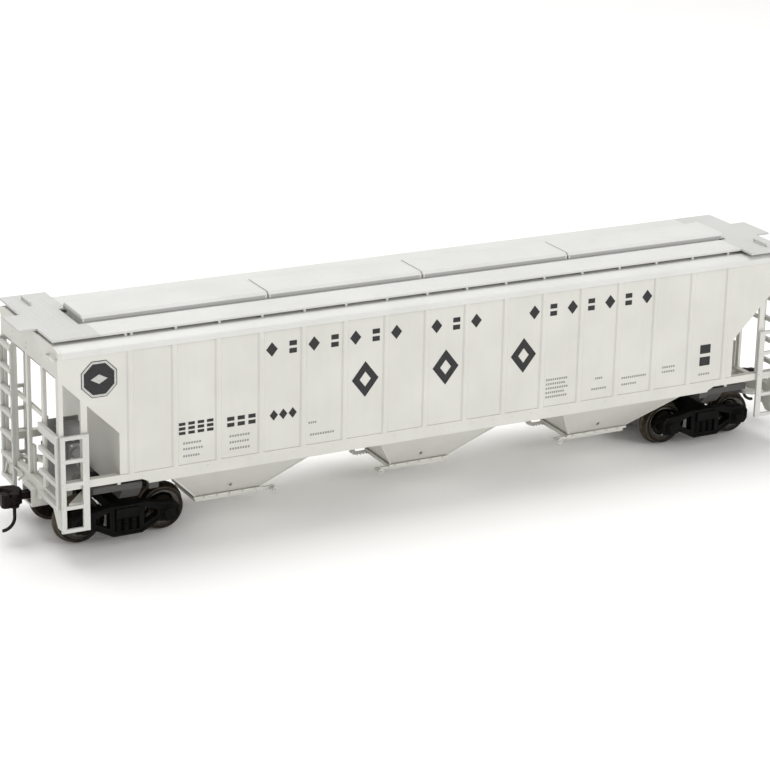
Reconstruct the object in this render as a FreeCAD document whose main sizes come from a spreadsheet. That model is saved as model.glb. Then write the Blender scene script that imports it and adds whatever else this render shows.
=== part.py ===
"""Three-bay covered hopper car in HO scale (1:87.1), as a parametric assembly in millimetres.

+X runs along the car to its brake-wheel end (B), +Y is to the left of a person facing that way,
+Z is up.  The origin is under the middle of the car, where the wheel flanges stand.
The car looks the same after half a turn about Z, so most parts of the A end and of the left side
are the B end's or the right side's, turned.
"""
import FreeCAD, Part
import os
import re
import Sketcher

DIMENSIONS = {
    # wheelsets and trucks
    "truck_half_spacing": 79.2,
    "half_wheelbase": 10.2,
    "flange_radius": 5.85,
    "tread_radius": 5.25,
    "flange_width": 0.8,
    "half_back_to_back": 7.2,
    "wheel_width": 2.8,
    "rim_radius": 4.35,
    "hub_radius": 1.7,
    "dish_depth": 0.9,
    "axle_radius": 1.0,
    "journal_radius": 0.8,
    "journal_end": 11.6,
    "axle_point": 12.9,
    "bearing_gap": 0.07,
    "frame_in": 11.3,
    "frame_out": 13.5,
    "frame_low": 2.2,
    "frame_high": 9.6,
    "frame_end": 12.9,
    "spring_window": 3.0,
    "spring_floor": 3.3,
    "spring_radius": 0.85,
    "spring_pitch": 1.9,
    "bearing_radius": 1.95,
    "cap_radius": 1.45,
    "cap_out": 14.2,
    "bolster_half": 2.7,
    "bolster_low": 6.6,
    "bolster_high": 8.9,
    "bolster_end": 14.0,
    "bowl_radius": 2.9,
    "bowl_high": 9.5,
    "screw_radius": 1.1,
    "screw_head_radius": 1.9,
    "screw_head": 1.0,
    "screw_slot": 0.4,
    "screw_clearance": 0.02,
    "pivot_gap": 0.06,
    # body: sides and ends
    "end_face": 97.0,
    "side_face": 18.6,
    "sheet": 0.8,
    "sill_low": 16.2,
    "sill_end_low": 17.4,
    "sill_top": 19.2,
    "sill_taper": 75.0,
    "sill_face": 18.75,
    "sill_depth": 1.7,
    "eave_low": 48.3,
    "window_in": 82.75,
    "stile_in": 90.3,
    "stile_out": 91.85,
    "post_in": 95.9,
    "rib_pitch": 10.67,
    "rib_width": 1.8,
    "rib_crown": 1.0,
    "rib_depth": 0.35,
    "slope_offset": 53.6,
    "bulkhead_low": 14.6,
    "end_post_width": 1.5,
    "end_post_depth": 0.8,
    "ladder_post": 8.35,
    "middle_post": -1.75,
    "tall_post": -11.05,
    "cross_rail_back": 95.6,
    "cross_rail_low": 30.65,
    "cross_rail_high": 31.75,
    "strut_side": 0.1,
    "strut_high": 21.9,
    # roof, hatches and running boards
    "eave_face": 19.0,
    "eave_turn": 49.6,
    "shoulder_side": 18.4,
    "shoulder_high": 50.1,
    "deck_side": 15.8,
    "deck_high": 50.5,
    "roof_wall": 0.9,
    "curb_high": 52.0,
    "curb_half": 5.45,
    "hatch_end": 86.5,
    "hatch_joint": 40.5,
    "hatch_gap": 0.3,
    "hatch_half": 5.95,
    "hatch_wall": 0.45,
    "hatch_lip": 51.8,
    "hatch_shoulder": 52.7,
    "hatch_crown_half": 5.2,
    "hatch_high": 53.35,
    "board_in": 6.3,
    "board_out": 15.3,
    "board_low": 51.15,
    "board_high": 51.7,
    "board_end": 85.6,
    "platform_in": 87.3,
    "platform_end": 96.8,
    "tongue_end": 101.0,
    "tongue_half": 5.5,
    "corner_out": 19.8,
    "bracket_in": 13.9,
    "bracket_out": 15.1,
    "bracket_width": 0.6,
    "bracket_shift": 1.9,
    "extra_bracket": 79.5,
    # hopper bays and outlet gates
    "bay_pitch": 50.5,
    "bay_low": 5.6,
    "bay_half_width": 17.0,
    "gate_half_width": 6.1,
    "gate_half_inner": 7.6,
    "sill_half_inner": 16.3,
    "gate_low": 4.2,
    "gate_flange": 0.5,
    "gate_lip": 0.6,
    "gate_reach": 4.2,
    "rail_side": 5.6,
    "rail_width": 0.7,
    "rail_low": 4.6,
    "rail_high": 5.2,
    "gate_shaft_radius": 0.4,
    "gate_shaft_end": 8.2,
    "capstan_radius": 0.65,
    "capstan_length": 0.9,
    # underframe
    "center_sill_half": 3.0,
    "center_sill_low": 12.6,
    "end_sill_in": 95.5,
    "body_bolster_half": 2.4,
    "body_bolster_low": 11.8,
    "body_bolster_side": 14.5,
    "body_bolster_tip": 14.7,
    "boss_radius": 2.7,
    "boss_low": 9.55,
    "boss_bore_top": 13.4,
    "side_beam_in": 15.8,
    "side_beam_low": 14.7,
    "side_beam_end": 88.6,
    "stub_sill_high": 14.6,
    "brace_low": 12.7,
    "brace_high": 13.5,
    "brace_out": 94.4,
    "brace_side": 16.9,
    "brace_slope": 0.838,
    "brace_width": 3.5,
    "weight_half_length": 70.0,
    "weight_half_width": 14.5,
    "weight_thickness": 2.4,
    # end sill
    "corner_leg": 16.6,
    "corner_leg_low": 8.0,
    "end_sill_high": 15.0,
    "end_sill_wing": 12.8,
    "end_sill_shoulder": 7.5,
    "end_sill_low": 10.4,
    "striker_half": 3.3,
    # ladders and grab irons
    "ladder_face": 19.45,
    "ladder_low": 7.5,
    "ladder_high": 30.4,
    "rung_first": 7.95,
    "rung_height": 0.9,
    "end_ladder_out": 97.8,
    "end_ladder_wide": 18.5,
    "end_ladder_near": 10.3,
    "end_stile_width": 0.9,
    "tall_rung_first": 9.1,
    "tall_rung_pitch": 5.5,
    "tall_ladder_high": 43.2,
    "low_ladder_near": 7.6,
    "end_rung_high": 1.1,
    "top_step_high": 1.9,
    "end_rung_face": 98.0,
    "handle_center": 98.1,
    "handle_start": 13.0,
    "handle_end": 18.3,
    "handle_high": 48.1,
    "roof_grab_x": 92.4,
    "roof_grab_start": -16.6,
    "roof_grab_end": -11.0,
    "roof_grab_high": 52.4,
    "wire_radius": 0.3,
    "wire_foot_radius": 0.25,
    # couplers
    "draft_in": 88.4,
    "draft_out": 98.3,
    "draft_half": 3.1,
    "draft_low": 8.9,
    "draft_roof": 12.0,
    "draft_wall": 0.6,
    "cover_low": 8.3,
    "draft_pivot": 91.2,
    "pivot_radius": 0.95,
    "cover_screw_radius": 0.5,
    "cover_screw_head": 1.0,
    "shank_half": 0.95,
    "shank_low": 9.7,
    "shank_high": 11.3,
    "eye_radius": 1.75,
    "head_low": 8.8,
    "head_high": 12.2,
    "knuckle_x": 102.2,
    "knuckle_y": 2.4,
    "knuckle_low": 9.6,
    "knuckle_high": 11.4,
    "knuckle_hub": 0.95,
    "lug_radius": 1.1,
    "pin_radius": 0.4,
    "pin_straight_low": 6.4,
    "pin_bend": 3.0,
    # brake gear
    "bracket_plate_y": 9.6,
    "bracket_plate": 0.6,
    "bracket_plate_low": 16.9,
    "bracket_plate_high": 31.4,
    "bracket_plate_in": 89.0,
    "cylinder_radius": 2.15,
    "cylinder_in": 90.1,
    "cylinder_out": 94.4,
    "cylinder_high": 29.1,
    "valve_in": 89.4,
    "valve_out": 92.4,
    "valve_low": 21.9,
    "valve_high": 26.0,
    "valve_width": 3.0,
    "reservoir_radius": 1.9,
    "reservoir_x": 91.5,
    "reservoir_high": 18.9,
    "reservoir_length": 6.6,
    "pipe_radius": 0.35,
    "lever_rod_high": 20.3,
    "lever_rod_length": 25.6,
    "brake_wheel_radius": 3.1,
    "brake_wheel_y": 9.0,
    "brake_wheel_z": 37.6,
    "brake_wheel_x": 99.6,
    "brake_rim_radius": 0.32,
    "brake_hub_radius": 0.7,
    "stand_width": 3.2,
    "stand_height": 4.6,
    "stand_depth": 1.5,
    "stand_strap": 0.6,
}

RIBS = 16
BRACKET_ROWS = 16
SIDE_RUNGS = 5
TALL_RUNGS = 7
LOW_RUNGS = 4
ROOT_TWO = 1.41421
ROD_FALL = 13.3

# where one measure follows from others
GATE_HALF = "(slope_offset - bay_pitch + bay_low)"
BAY_HIGH = "(bay_pitch / 2 - slope_offset + bay_pitch)"
SHEET_SLANT = f"(sheet * {ROOT_TWO})"
SLOPE_TOP = f"(end_face - sheet - slope_offset + {SHEET_SLANT})"
AXLE_HIGH = "flange_radius"
HALF_TURN = FreeCAD.Placement(FreeCAD.Vector(), FreeCAD.Rotation(FreeCAD.Vector(0, 0, 1), 180))

doc = FreeCAD.newDocument("covered_hopper")
sheet = doc.addObject("Spreadsheet::Sheet", "Size")
for row, (alias, value) in enumerate(DIMENSIONS.items(), start=1):
    sheet.set(f"A{row}", alias)
    sheet.set(f"B{row}", str(value))
    sheet.setAlias(f"B{row}", alias)
doc.recompute()

nodes = []


def size(formula):
    """Point every dimension named in a formula at the sheet."""
    def qualify(word):
        return f"Size.{word[0]}" if word[0] in DIMENSIONS else word[0]
    return re.sub(r"[a-z][a-z_]*", qualify, str(formula))


def number(formula):
    """The present value of a formula."""
    return float(sheet.evalExpression(size(formula)))


def tie(thing, **formulas):
    """Bind properties of an object to the sheet; a double underscore stands for a dot."""
    for name, formula in formulas.items():
        thing.setExpression(name.replace("__", "."), size(formula))
    return thing


def publish(thing, label, turned=False):
    """Name a finished sub-part, and turn it to the other end or side if asked."""
    thing.Label = label
    if turned:
        thing.Placement = HALF_TURN
    nodes.append(thing)
    return thing


def negative(formula):
    return f"-({formula})"


def mirrored(half):
    """A closed outline from its +u half, listed from the bottom up."""
    return half + [(negative(u), v) for u, v in reversed(half)]


# sketches and the PartDesign features on them

def sketch_on(body, plane, level):
    sketch = body.newObject("Sketcher::SketchObject", "Sketch")
    support = next(f for f in body.Origin.OriginFeatures if f.Role == plane)
    sketch.AttachmentSupport = [(support, "")]
    sketch.MapMode = "FlatFace"
    return tie(sketch, AttachmentOffset__Base__z=level)


def draw_outline(sketch, corners):
    """Draw a closed polygon whose every corner is tied to the sheet."""
    points = [FreeCAD.Vector(number(u), number(v), 0) for u, v in corners]
    count = len(points)
    for k in range(count):
        sketch.addGeometry(Part.LineSegment(points[k], points[(k + 1) % count]), False)
    for k in range(count):
        sketch.addConstraint(Sketcher.Constraint("Coincident", k, 2, (k + 1) % count, 1))
    for k, (u, v) in enumerate(corners):
        for kind, formula, value in (("DistanceX", u, points[k].x), ("DistanceY", v, points[k].y)):
            index = sketch.addConstraint(Sketcher.Constraint(kind, -1, 1, k, 1, value))
            sketch.setExpression(f"Constraints[{index}]", size(formula))


def draw_circle(sketch, u, v, radius):
    """Draw a circle whose centre and radius are tied to the sheet."""
    center = FreeCAD.Vector(number(u), number(v), 0)
    curve = sketch.addGeometry(Part.Circle(center, FreeCAD.Vector(0, 0, 1), number(radius)), False)
    for kind, formula, value in (("DistanceX", u, center.x), ("DistanceY", v, center.y)):
        index = sketch.addConstraint(Sketcher.Constraint(kind, -1, 1, curve, 3, value))
        sketch.setExpression(f"Constraints[{index}]", size(formula))
    index = sketch.addConstraint(Sketcher.Constraint("Radius", curve, number(radius)))
    sketch.setExpression(f"Constraints[{index}]", size(radius))


def feature(body, kind, plane, low, high, draw):
    """Pad or pocket a sketch between two levels along the plane's own axis.

    The XZ plane's normal is -Y, so there the levels are measured along -Y and swapped.
    A pocket cuts against its sketch's normal, so it starts at the upper level.
    """
    if plane == "XZ_Plane":
        low, high = negative(high), negative(low)
    start = low if kind == "Pad" else high
    sketch = sketch_on(body, plane, start)
    draw(sketch)
    made = body.newObject(f"PartDesign::{kind}", kind)
    made.Profile = sketch
    tie(made, Length=f"({high}) - ({low})")
    return made


def pad(body, plane, corners, low, high):
    return feature(body, "Pad", plane, low, high, lambda sketch: draw_outline(sketch, corners))


def pocket(body, plane, corners, low, high):
    return feature(body, "Pocket", plane, low, high, lambda sketch: draw_outline(sketch, corners))


def round_pad(body, plane, u, v, radius, low, high):
    return feature(body, "Pad", plane, low, high, lambda sketch: draw_circle(sketch, u, v, radius))


def round_pocket(body, plane, u, v, radius, low, high):
    return feature(body, "Pocket", plane, low, high, lambda sketch: draw_circle(sketch, u, v, radius))


def new_body():
    return doc.addObject("PartDesign::Body", "Body")


def rectangle(u, v):
    """The corners of a rectangle from its (low, high) pairs."""
    return [(u[0], v[0]), (u[1], v[0]), (u[1], v[1]), (u[0], v[1])]


def both_ways(half):
    """A (low, high) pair centred on zero."""
    return negative(half), half


# Part primitives

def block(x, y, z):
    """A box from its (low, high) pairs."""
    box = doc.addObject("Part::Box", "Box")
    tie(box, Length=f"({x[1]}) - ({x[0]})", Width=f"({y[1]}) - ({y[0]})", Height=f"({z[1]}) - ({z[0]})")
    return tie(box, Placement__Base__x=x[0], Placement__Base__y=y[0], Placement__Base__z=z[0])


AXIS_TURN = {
    "x": FreeCAD.Rotation(FreeCAD.Vector(0, 1, 0), 90),
    "y": FreeCAD.Rotation(FreeCAD.Vector(1, 0, 0), -90),
    "z": FreeCAD.Rotation(),
}


def rod(axis, x, y, z, radius, length):
    """A cylinder from a start point along +x, +y or +z."""
    cylinder = doc.addObject("Part::Cylinder", "Rod")
    cylinder.Placement = FreeCAD.Placement(FreeCAD.Vector(), AXIS_TURN[axis])
    tie(cylinder, Radius=radius, Height=length)
    return tie(cylinder, Placement__Base__x=x, Placement__Base__y=y, Placement__Base__z=z)


def cone(y_start, radius, length, direction):
    """A pointed cone along y, its base at y_start; direction is 1 towards +Y and -1 towards -Y."""
    point = doc.addObject("Part::Cone", "Cone")
    point.Placement = FreeCAD.Placement(
        FreeCAD.Vector(), FreeCAD.Rotation(FreeCAD.Vector(1, 0, 0), -90 * direction))
    point.Radius2 = 0
    tie(point, Radius1=radius, Height=length)
    return tie(point, Placement__Base__y=y_start)


def fuse(things):
    fusion = doc.addObject("Part::MultiFuse", "Fusion")
    fusion.Shapes = things
    fusion.Refine = True
    return fusion


def cut(base, tool):
    difference = doc.addObject("Part::Cut", "Cut")
    difference.Base = base
    difference.Tool = tool
    return difference


def group(things):
    """Separate like solids that share one node."""
    compound = doc.addObject("Part::Compound", "Group")
    compound.Links = things
    return compound


def mirror(source, normal):
    image = doc.addObject("Part::Mirroring", "Mirror")
    image.Source = source
    image.Normal = FreeCAD.Vector(*normal)
    return image


# car body

def side_sheet(label, turned):
    """A ribbed side with an open bay at each end, its lower edge standing on the sill."""
    half = [
        ("window_in", "sill_top"),
        ("window_in", "window_in - slope_offset"),
        ("stile_in", "stile_in - slope_offset"),
        ("stile_in", "sill_top"),
        ("stile_out", "sill_top"),
        ("stile_out", "stile_out - slope_offset"),
        ("post_in", "post_in - slope_offset"),
        ("post_in", "sill_top"),
        ("end_face", "sill_top"),
        ("end_face", "eave_low"),
    ]
    body = new_body()
    pad(body, "XZ_Plane", mirrored(half), "-side_face", "sheet - side_face")
    first = f"-{(RIBS - 1) / 2} * rib_pitch"
    section = [
        (f"{first} - rib_width / 2", "-side_face"),
        (f"{first} - rib_crown / 2", "-side_face - rib_depth"),
        (f"{first} + rib_crown / 2", "-side_face - rib_depth"),
        (f"{first} + rib_width / 2", "-side_face"),
    ]
    rib = pad(body, "XY_Plane", section, "sill_top", "eave_low")
    pattern = body.newObject("PartDesign::LinearPattern", "Ribs")
    pattern.Originals = [rib]
    pattern.Direction = (rib.Profile[0], ["H_Axis"])
    pattern.Occurrences = RIBS
    tie(pattern, Length=f"{RIBS - 1} * rib_pitch")
    body.Tip = pattern
    publish(body, label, turned)


def side_sills():
    """The lengthwise sills under the sides, shallower over the trucks, with their jacking pads."""
    half = [
        ("sill_taper", "sill_low"),
        ("sill_taper + 2 * (sill_end_low - sill_low)", "sill_end_low"),
        ("end_face", "sill_end_low"),
        ("end_face", "sill_top"),
    ]
    body = new_body()
    pad(body, "XZ_Plane", mirrored(half), "-sill_face", "sill_depth - sill_face")
    for side in (1, -1):
        outer = f"{side} * (sill_taper + sheet)"
        inner = f"{side} * (sill_taper - 2 * sheet)"
        low, high = (inner, outer) if side > 0 else (outer, inner)
        pad(body, "XZ_Plane", rectangle((low, high), ("side_beam_low", "sill_low + 0.5 * sheet")),
            "0.2 * sheet - sill_face", "sill_depth - sill_face")
    publish(group([body, mirror(body, (0, 1, 0))]), "side_sills")


def end_frame(label, turned):
    """The fascia under the roof's end, with the posts and the rail of the open end cage."""
    fascia = mirrored([
        ("side_face - sheet", SLOPE_TOP),
        ("side_face - sheet", "eave_low"),
        ("eave_face", "eave_low"),
        ("eave_face", "eave_turn"),
        ("shoulder_side", "shoulder_high"),
        ("deck_side", "deck_high"),
    ])
    post_back = "end_face - end_post_depth"
    body = new_body()
    pad(body, "YZ_Plane", fascia, "end_face - sheet", "end_face")
    for place in ("ladder_post", "middle_post", "tall_post"):
        across = (f"{place} - end_post_width / 2", f"{place} + end_post_width / 2")
        outline = rectangle(across, ("end_sill_high", SLOPE_TOP))
        pad(body, "YZ_Plane", outline, post_back, "end_face")
    rail = rectangle(("tall_post", "ladder_post"), ("cross_rail_low", "cross_rail_high"))
    pad(body, "YZ_Plane", rail, "cross_rail_back", post_back)
    strut = rectangle(("middle_post", "-strut_side"), ("end_sill_high", "strut_high"))
    pad(body, "YZ_Plane", strut, "cross_rail_back", post_back)
    corner = "side_face - sheet"
    for y in ((negative(corner), f"sheet - ({corner})"), (f"{corner} - sheet", corner)):
        pad(body, "YZ_Plane", rectangle(y, ("sill_top", SLOPE_TOP)), post_back, "end_face")
    publish(body, label, turned)


def slope_sheet(label, turned):
    """The inclined floor of an end, from the hopper bay up to the fascia, and the bulkhead under it."""
    foot = f"{BAY_HIGH} + slope_offset"
    side = [
        (foot, BAY_HIGH),
        (foot, f"{BAY_HIGH} + {SHEET_SLANT}"),
        ("end_face - sheet", SLOPE_TOP),
        ("end_face - sheet", f"{SLOPE_TOP} + {SHEET_SLANT}"),
        (f"{foot} - 2 * {SHEET_SLANT}", BAY_HIGH),
    ]
    bulkhead = mirrored([
        ("side_beam_in", "bulkhead_low"),
        ("side_beam_in", "sill_low"),
        ("bay_half_width", "sill_low"),
        ("bay_half_width", "sill_top"),
        ("side_face - sheet", "sill_top"),
        ("side_face - sheet", f"window_in - slope_offset + {SHEET_SLANT}"),
    ])
    body = new_body()
    pad(body, "XZ_Plane", side, *both_ways("side_face - sheet"))
    pad(body, "YZ_Plane", bulkhead, "window_in - sheet", "window_in")
    publish(body, label, turned)


def roof_panel():
    """The roof with its turned-down eaves and the raised curb that the hatch covers sit on."""
    outside = [
        ("side_face - sheet", "eave_low"),
        ("eave_face", "eave_low"),
        ("eave_face", "eave_turn"),
        ("shoulder_side", "shoulder_high"),
        ("deck_side", "deck_high"),
    ]
    underside = [("deck_side", "deck_high - roof_wall"), ("side_face - sheet", "eave_turn - 0.3 * sheet")]
    body = new_body()
    left = [(negative(u), v) for u, v in underside]
    corners = mirrored(outside) + list(reversed(left)) + underside
    pad(body, "YZ_Plane", corners, *both_ways("end_face - sheet"))
    curb = rectangle(both_ways("hatch_end - sheet"), both_ways("curb_half"))
    pad(body, "XY_Plane", curb, "deck_high", "curb_high")
    publish(body, "roof_panel")


def hatch_cover(label, start, end):
    """One long crowned cover with lips over the curb."""
    outside = mirrored([
        ("hatch_half", "hatch_lip"),
        ("hatch_half", "hatch_shoulder"),
        ("hatch_crown_half", "hatch_high"),
    ])
    lip = "(hatch_half - hatch_wall)"
    underside = [
        (negative(lip), "hatch_lip"),
        (negative(lip), "curb_high"),
        (lip, "curb_high"),
        (lip, "hatch_lip"),
    ]
    body = new_body()
    pad(body, "YZ_Plane", outside + underside, f"{start} + hatch_gap / 2", f"{end} - hatch_gap / 2")
    publish(body, label)


def running_board(label, y):
    publish(block(both_ways("board_end"), y, ("board_low", "board_high")), label)


def end_platform(label, turned):
    """The walkway across an end of the roof, with its tongue and one corner step."""
    corners = [
        ("board_end", "board_in"),
        ("board_end", "board_out"),
        ("platform_end", "board_out"),
        ("platform_end", "tongue_half"),
        ("tongue_end", "tongue_half"),
        ("tongue_end", "-tongue_half"),
        ("platform_end", "-tongue_half"),
        ("platform_end", "-corner_out"),
        ("board_end", "-corner_out"),
        ("board_end", "-board_in"),
        ("platform_in", "-board_in"),
        ("platform_in", "board_in"),
    ]
    body = new_body()
    pad(body, "XY_Plane", corners, "board_low", "board_high")
    publish(body, label, turned)


def board_brackets():
    """Small feet that hold the running boards off the roof, one beside each rib and one more at an end."""
    feet = []
    for side in (-1, 1):
        y = ("bracket_in", "bracket_out") if side > 0 else ("-bracket_out", "-bracket_in")
        places = [f"{step - (BRACKET_ROWS - 1) / 2} * rib_pitch" for step in range(BRACKET_ROWS)]
        places = [f"{place} - {side} * bracket_shift" for place in places] + [f"{side} * extra_bracket"]
        for middle in places:
            x = (f"{middle} - bracket_width / 2", f"{middle} + bracket_width / 2")
            feet.append(block(x, y, ("deck_high", "board_low")))
    publish(group(feet), "board_brackets")


# hopper bays

def frustum(lower, upper):
    """A solid between two level rectangles, each given as its X span, half width and level."""
    wedge = doc.addObject("Part::Wedge", "Frustum")
    wedge.Placement = FreeCAD.Placement(FreeCAD.Vector(), FreeCAD.Rotation(FreeCAD.Vector(1, 0, 0), 90))
    tie(wedge, Xmin=lower[0][0], Xmax=lower[0][1], Zmin=negative(lower[1]), Zmax=lower[1], Ymin=lower[2])
    return tie(wedge, X2min=upper[0][0], X2max=upper[0][1], Z2min=negative(upper[1]), Z2max=upper[1],
               Ymax=upper[2])


def bay_span(level, inner):
    """How far a bay reaches each way at its gate, sill or top; inner names the sides that face a bay.

    A wall that faces the car's end slopes at 45 degrees, and one that faces another bay is steeper.
    """
    steep = "((sill_half_inner - gate_half_inner) / (sill_low - bay_low))"
    rise = {"gate": "0", "sill": "(sill_low - bay_low)", "top": f"({BAY_HIGH} - bay_low)"}[level]
    outer_reach = f"({GATE_HALF} + {rise})"
    inner_reach = f"(gate_half_inner + {rise} * {steep})"
    low, high = (inner_reach if side in inner else outer_reach for side in (-1, 1))
    return negative(low), high


def shrink(span, amount):
    return f"{span[0]} + {amount}", f"{span[1]} - {amount}"


def hopper_bay(label, center, inner):
    """A funnel with sloping walls, open at its top and at its gate, with a flange towards each next bay."""
    levels = (("gate", "gate_half_width", "bay_low"), ("sill", "bay_half_width", "sill_low"),
              ("top", "bay_half_width", BAY_HIGH))
    outside = [(bay_span(level, inner), width, height) for level, width, height in levels]
    inside = [(shrink(span, SHEET_SLANT), f"{width} - {SHEET_SLANT}", height) for span, width, height in outside]
    shell = fuse([frustum(outside[0], outside[1]), frustum(outside[1], outside[2])])
    hollow = fuse([frustum(inside[0], inside[1]), frustum(inside[1], inside[2])])
    parts = [cut(shell, hollow)]
    for side in inner:
        edge = bay_span("top", inner)[0 if side < 0 else 1]
        lap = f"{edge} - {side} * {SHEET_SLANT}"
        reach = f"{side} * bay_pitch / 2"
        span = (lap, reach) if side > 0 else (reach, lap)
        parts.append(block(span, both_ways("bay_half_width"), (f"{BAY_HIGH} - sheet", BAY_HIGH)))
    funnel = fuse(parts)
    tie(funnel, Placement__Base__x=center)
    publish(funnel, label)


def outlet_gate(label, center, inner, opens):
    """The gate frame, closed slide, rails, stub shafts and capstans; opens is +1 or -1 along X."""
    span = bay_span("gate", inner)
    wide = "gate_half_width + gate_lip"
    frame = [
        block(shrink(span, "-gate_lip"), both_ways(wide), ("bay_low - gate_flange", "bay_low")),
        block(span, both_ways("gate_half_width"), ("gate_low", "bay_low - gate_flange")),
    ]
    tip = f"{span[1]} + gate_reach" if opens > 0 else f"{span[0]} - gate_reach"
    ends = ("0", tip) if opens > 0 else (tip, "0")
    shaft_x = f"{tip} - {opens} * capstan_radius"
    shaft_z = "(rail_low + rail_high) / 2"
    for side in (-1, 1):
        y = sorted((f"{side} * (rail_side + rail_width)", f"{side} * rail_side"), key=number)
        frame.append(block(ends, y, ("rail_low", "rail_high")))
        stub = "rail_side" if side > 0 else "-gate_shaft_end"
        frame.append(rod("y", shaft_x, stub, shaft_z, "gate_shaft_radius", "gate_shaft_end - rail_side"))
        knob = "gate_shaft_end - capstan_length" if side > 0 else "-gate_shaft_end"
        frame.append(rod("y", shaft_x, knob, shaft_z, "capstan_radius", "capstan_length"))
    gate = fuse(frame)
    tie(gate, Placement__Base__x=center)
    publish(gate, label)


def weight_plate():
    """The steel ballast that lies on the ridges between the bays."""
    level = (BAY_HIGH, f"{BAY_HIGH} + weight_thickness")
    publish(block(both_ways("weight_half_length"), both_ways("weight_half_width"), level), "weight_plate")


# underframe

def underframe(label, turned):
    """Centre sill stub, body bolster with the truck boss, corner braces and beams under the side sills."""
    sill = [
        ("center_sill_low + slope_offset", "center_sill_low"),
        ("end_sill_in", "center_sill_low"),
        ("end_sill_in", "stub_sill_high"),
        ("truck_half_spacing + body_bolster_half", "stub_sill_high"),
        ("truck_half_spacing", "sill_low"),
        ("sill_low + slope_offset", "sill_low"),
    ]
    bolster = mirrored([
        ("body_bolster_side", "body_bolster_low"),
        ("bay_half_width", "body_bolster_tip"),
        ("bay_half_width", "sill_low"),
    ])
    body = new_body()
    pad(body, "XZ_Plane", sill, *both_ways("center_sill_half"))
    bolster_span = ("truck_half_spacing - body_bolster_half", "truck_half_spacing + body_bolster_half")
    pad(body, "YZ_Plane", bolster, *bolster_span)
    round_pad(body, "XY_Plane", "truck_half_spacing", "0", "boss_radius", "boss_low", "center_sill_low")
    beam = rectangle(("truck_half_spacing", "side_beam_end"), ("side_beam_low", "sill_low"))
    pad(body, "XZ_Plane", beam, "side_beam_in", "bay_half_width")
    pad(body, "XZ_Plane", beam, "-bay_half_width", "-side_beam_in")
    brace_in = "truck_half_spacing + body_bolster_half - 0.5"
    inner_side = f"brace_side - (brace_out - ({brace_in})) / brace_slope"
    for side in (1, -1):
        brace = [
            ("brace_out", f"{side} * brace_side"),
            ("brace_out - brace_width", f"{side} * brace_side"),
            (brace_in, f"{side} * ({inner_side} + brace_width / brace_slope)"),
            (brace_in, f"{side} * ({inner_side})"),
        ]
        pad(body, "XY_Plane", brace, "brace_low", "brace_high")
    bore = "screw_radius + screw_clearance"
    round_pocket(body, "XY_Plane", "truck_half_spacing", "0", bore, "boss_low", "boss_bore_top")
    publish(body, label, turned)


def end_sill(label, turned):
    """The deep plate across an end, notched for the draft box, with a leg down each corner."""
    corners = [
        ("-side_face", "sill_end_low"),
        ("-side_face", "corner_leg_low"),
        ("-corner_leg", "corner_leg_low"),
        ("-end_sill_wing", "end_sill_low + 1"),
        ("-end_sill_shoulder", "end_sill_low + 0.8"),
        ("-striker_half - 1", "end_sill_low"),
        ("-striker_half", "end_sill_low"),
        ("-striker_half", "center_sill_low"),
        ("striker_half", "center_sill_low"),
        ("striker_half", "end_sill_low"),
        ("striker_half + 1", "end_sill_low"),
        ("end_sill_shoulder", "end_sill_low + 2"),
        ("end_sill_wing", "end_sill_low + 2.6"),
        ("corner_leg", "corner_leg_low"),
        ("side_face", "corner_leg_low"),
        ("side_face", "sill_end_low"),
        ("sill_face - sill_depth", "sill_end_low"),
        ("sill_face - sill_depth", "end_sill_high"),
        ("sill_depth - sill_face", "end_sill_high"),
        ("sill_depth - sill_face", "sill_end_low"),
    ]
    body = new_body()
    pad(body, "YZ_Plane", corners, "end_sill_in", "end_face")
    publish(body, label, turned)


# ladders and grab irons

def side_ladders():
    """Four corner ladders in front of the side sills."""
    y = ("-ladder_face", "-sill_face")
    parts = [
        block(("stile_in", "stile_out"), y, ("ladder_low", "ladder_high")),
        block(("post_in", "end_face"), y, ("ladder_low", "ladder_high")),
    ]
    for step in range(SIDE_RUNGS):
        middle = f"rung_first + {step} * (ladder_high - rung_height / 2 - rung_first) / {SIDE_RUNGS - 1}"
        parts.append(block(("stile_out", "post_in"), y,
                           (f"{middle} - rung_height / 2", f"{middle} + rung_height / 2")))
    ladder = fuse(parts)
    far = mirror(ladder, (1, 0, 0))
    publish(group([ladder, far, mirror(ladder, (0, 1, 0)), mirror(far, (0, 1, 0))]), "side_ladders")


def end_rungs(near, rungs):
    """Flat rungs in front of an end face, on the -Y side."""
    across = ("-end_ladder_wide", negative(near))
    return [block(("end_face", "end_rung_face"), across,
                  (f"{height} - end_rung_high / 2", f"{height} + end_rung_high / 2")) for height in rungs]


def end_stile(near, low, high):
    return block(("end_face", "end_ladder_out"), (f"-({near}) - end_stile_width", negative(near)), (low, high))


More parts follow.
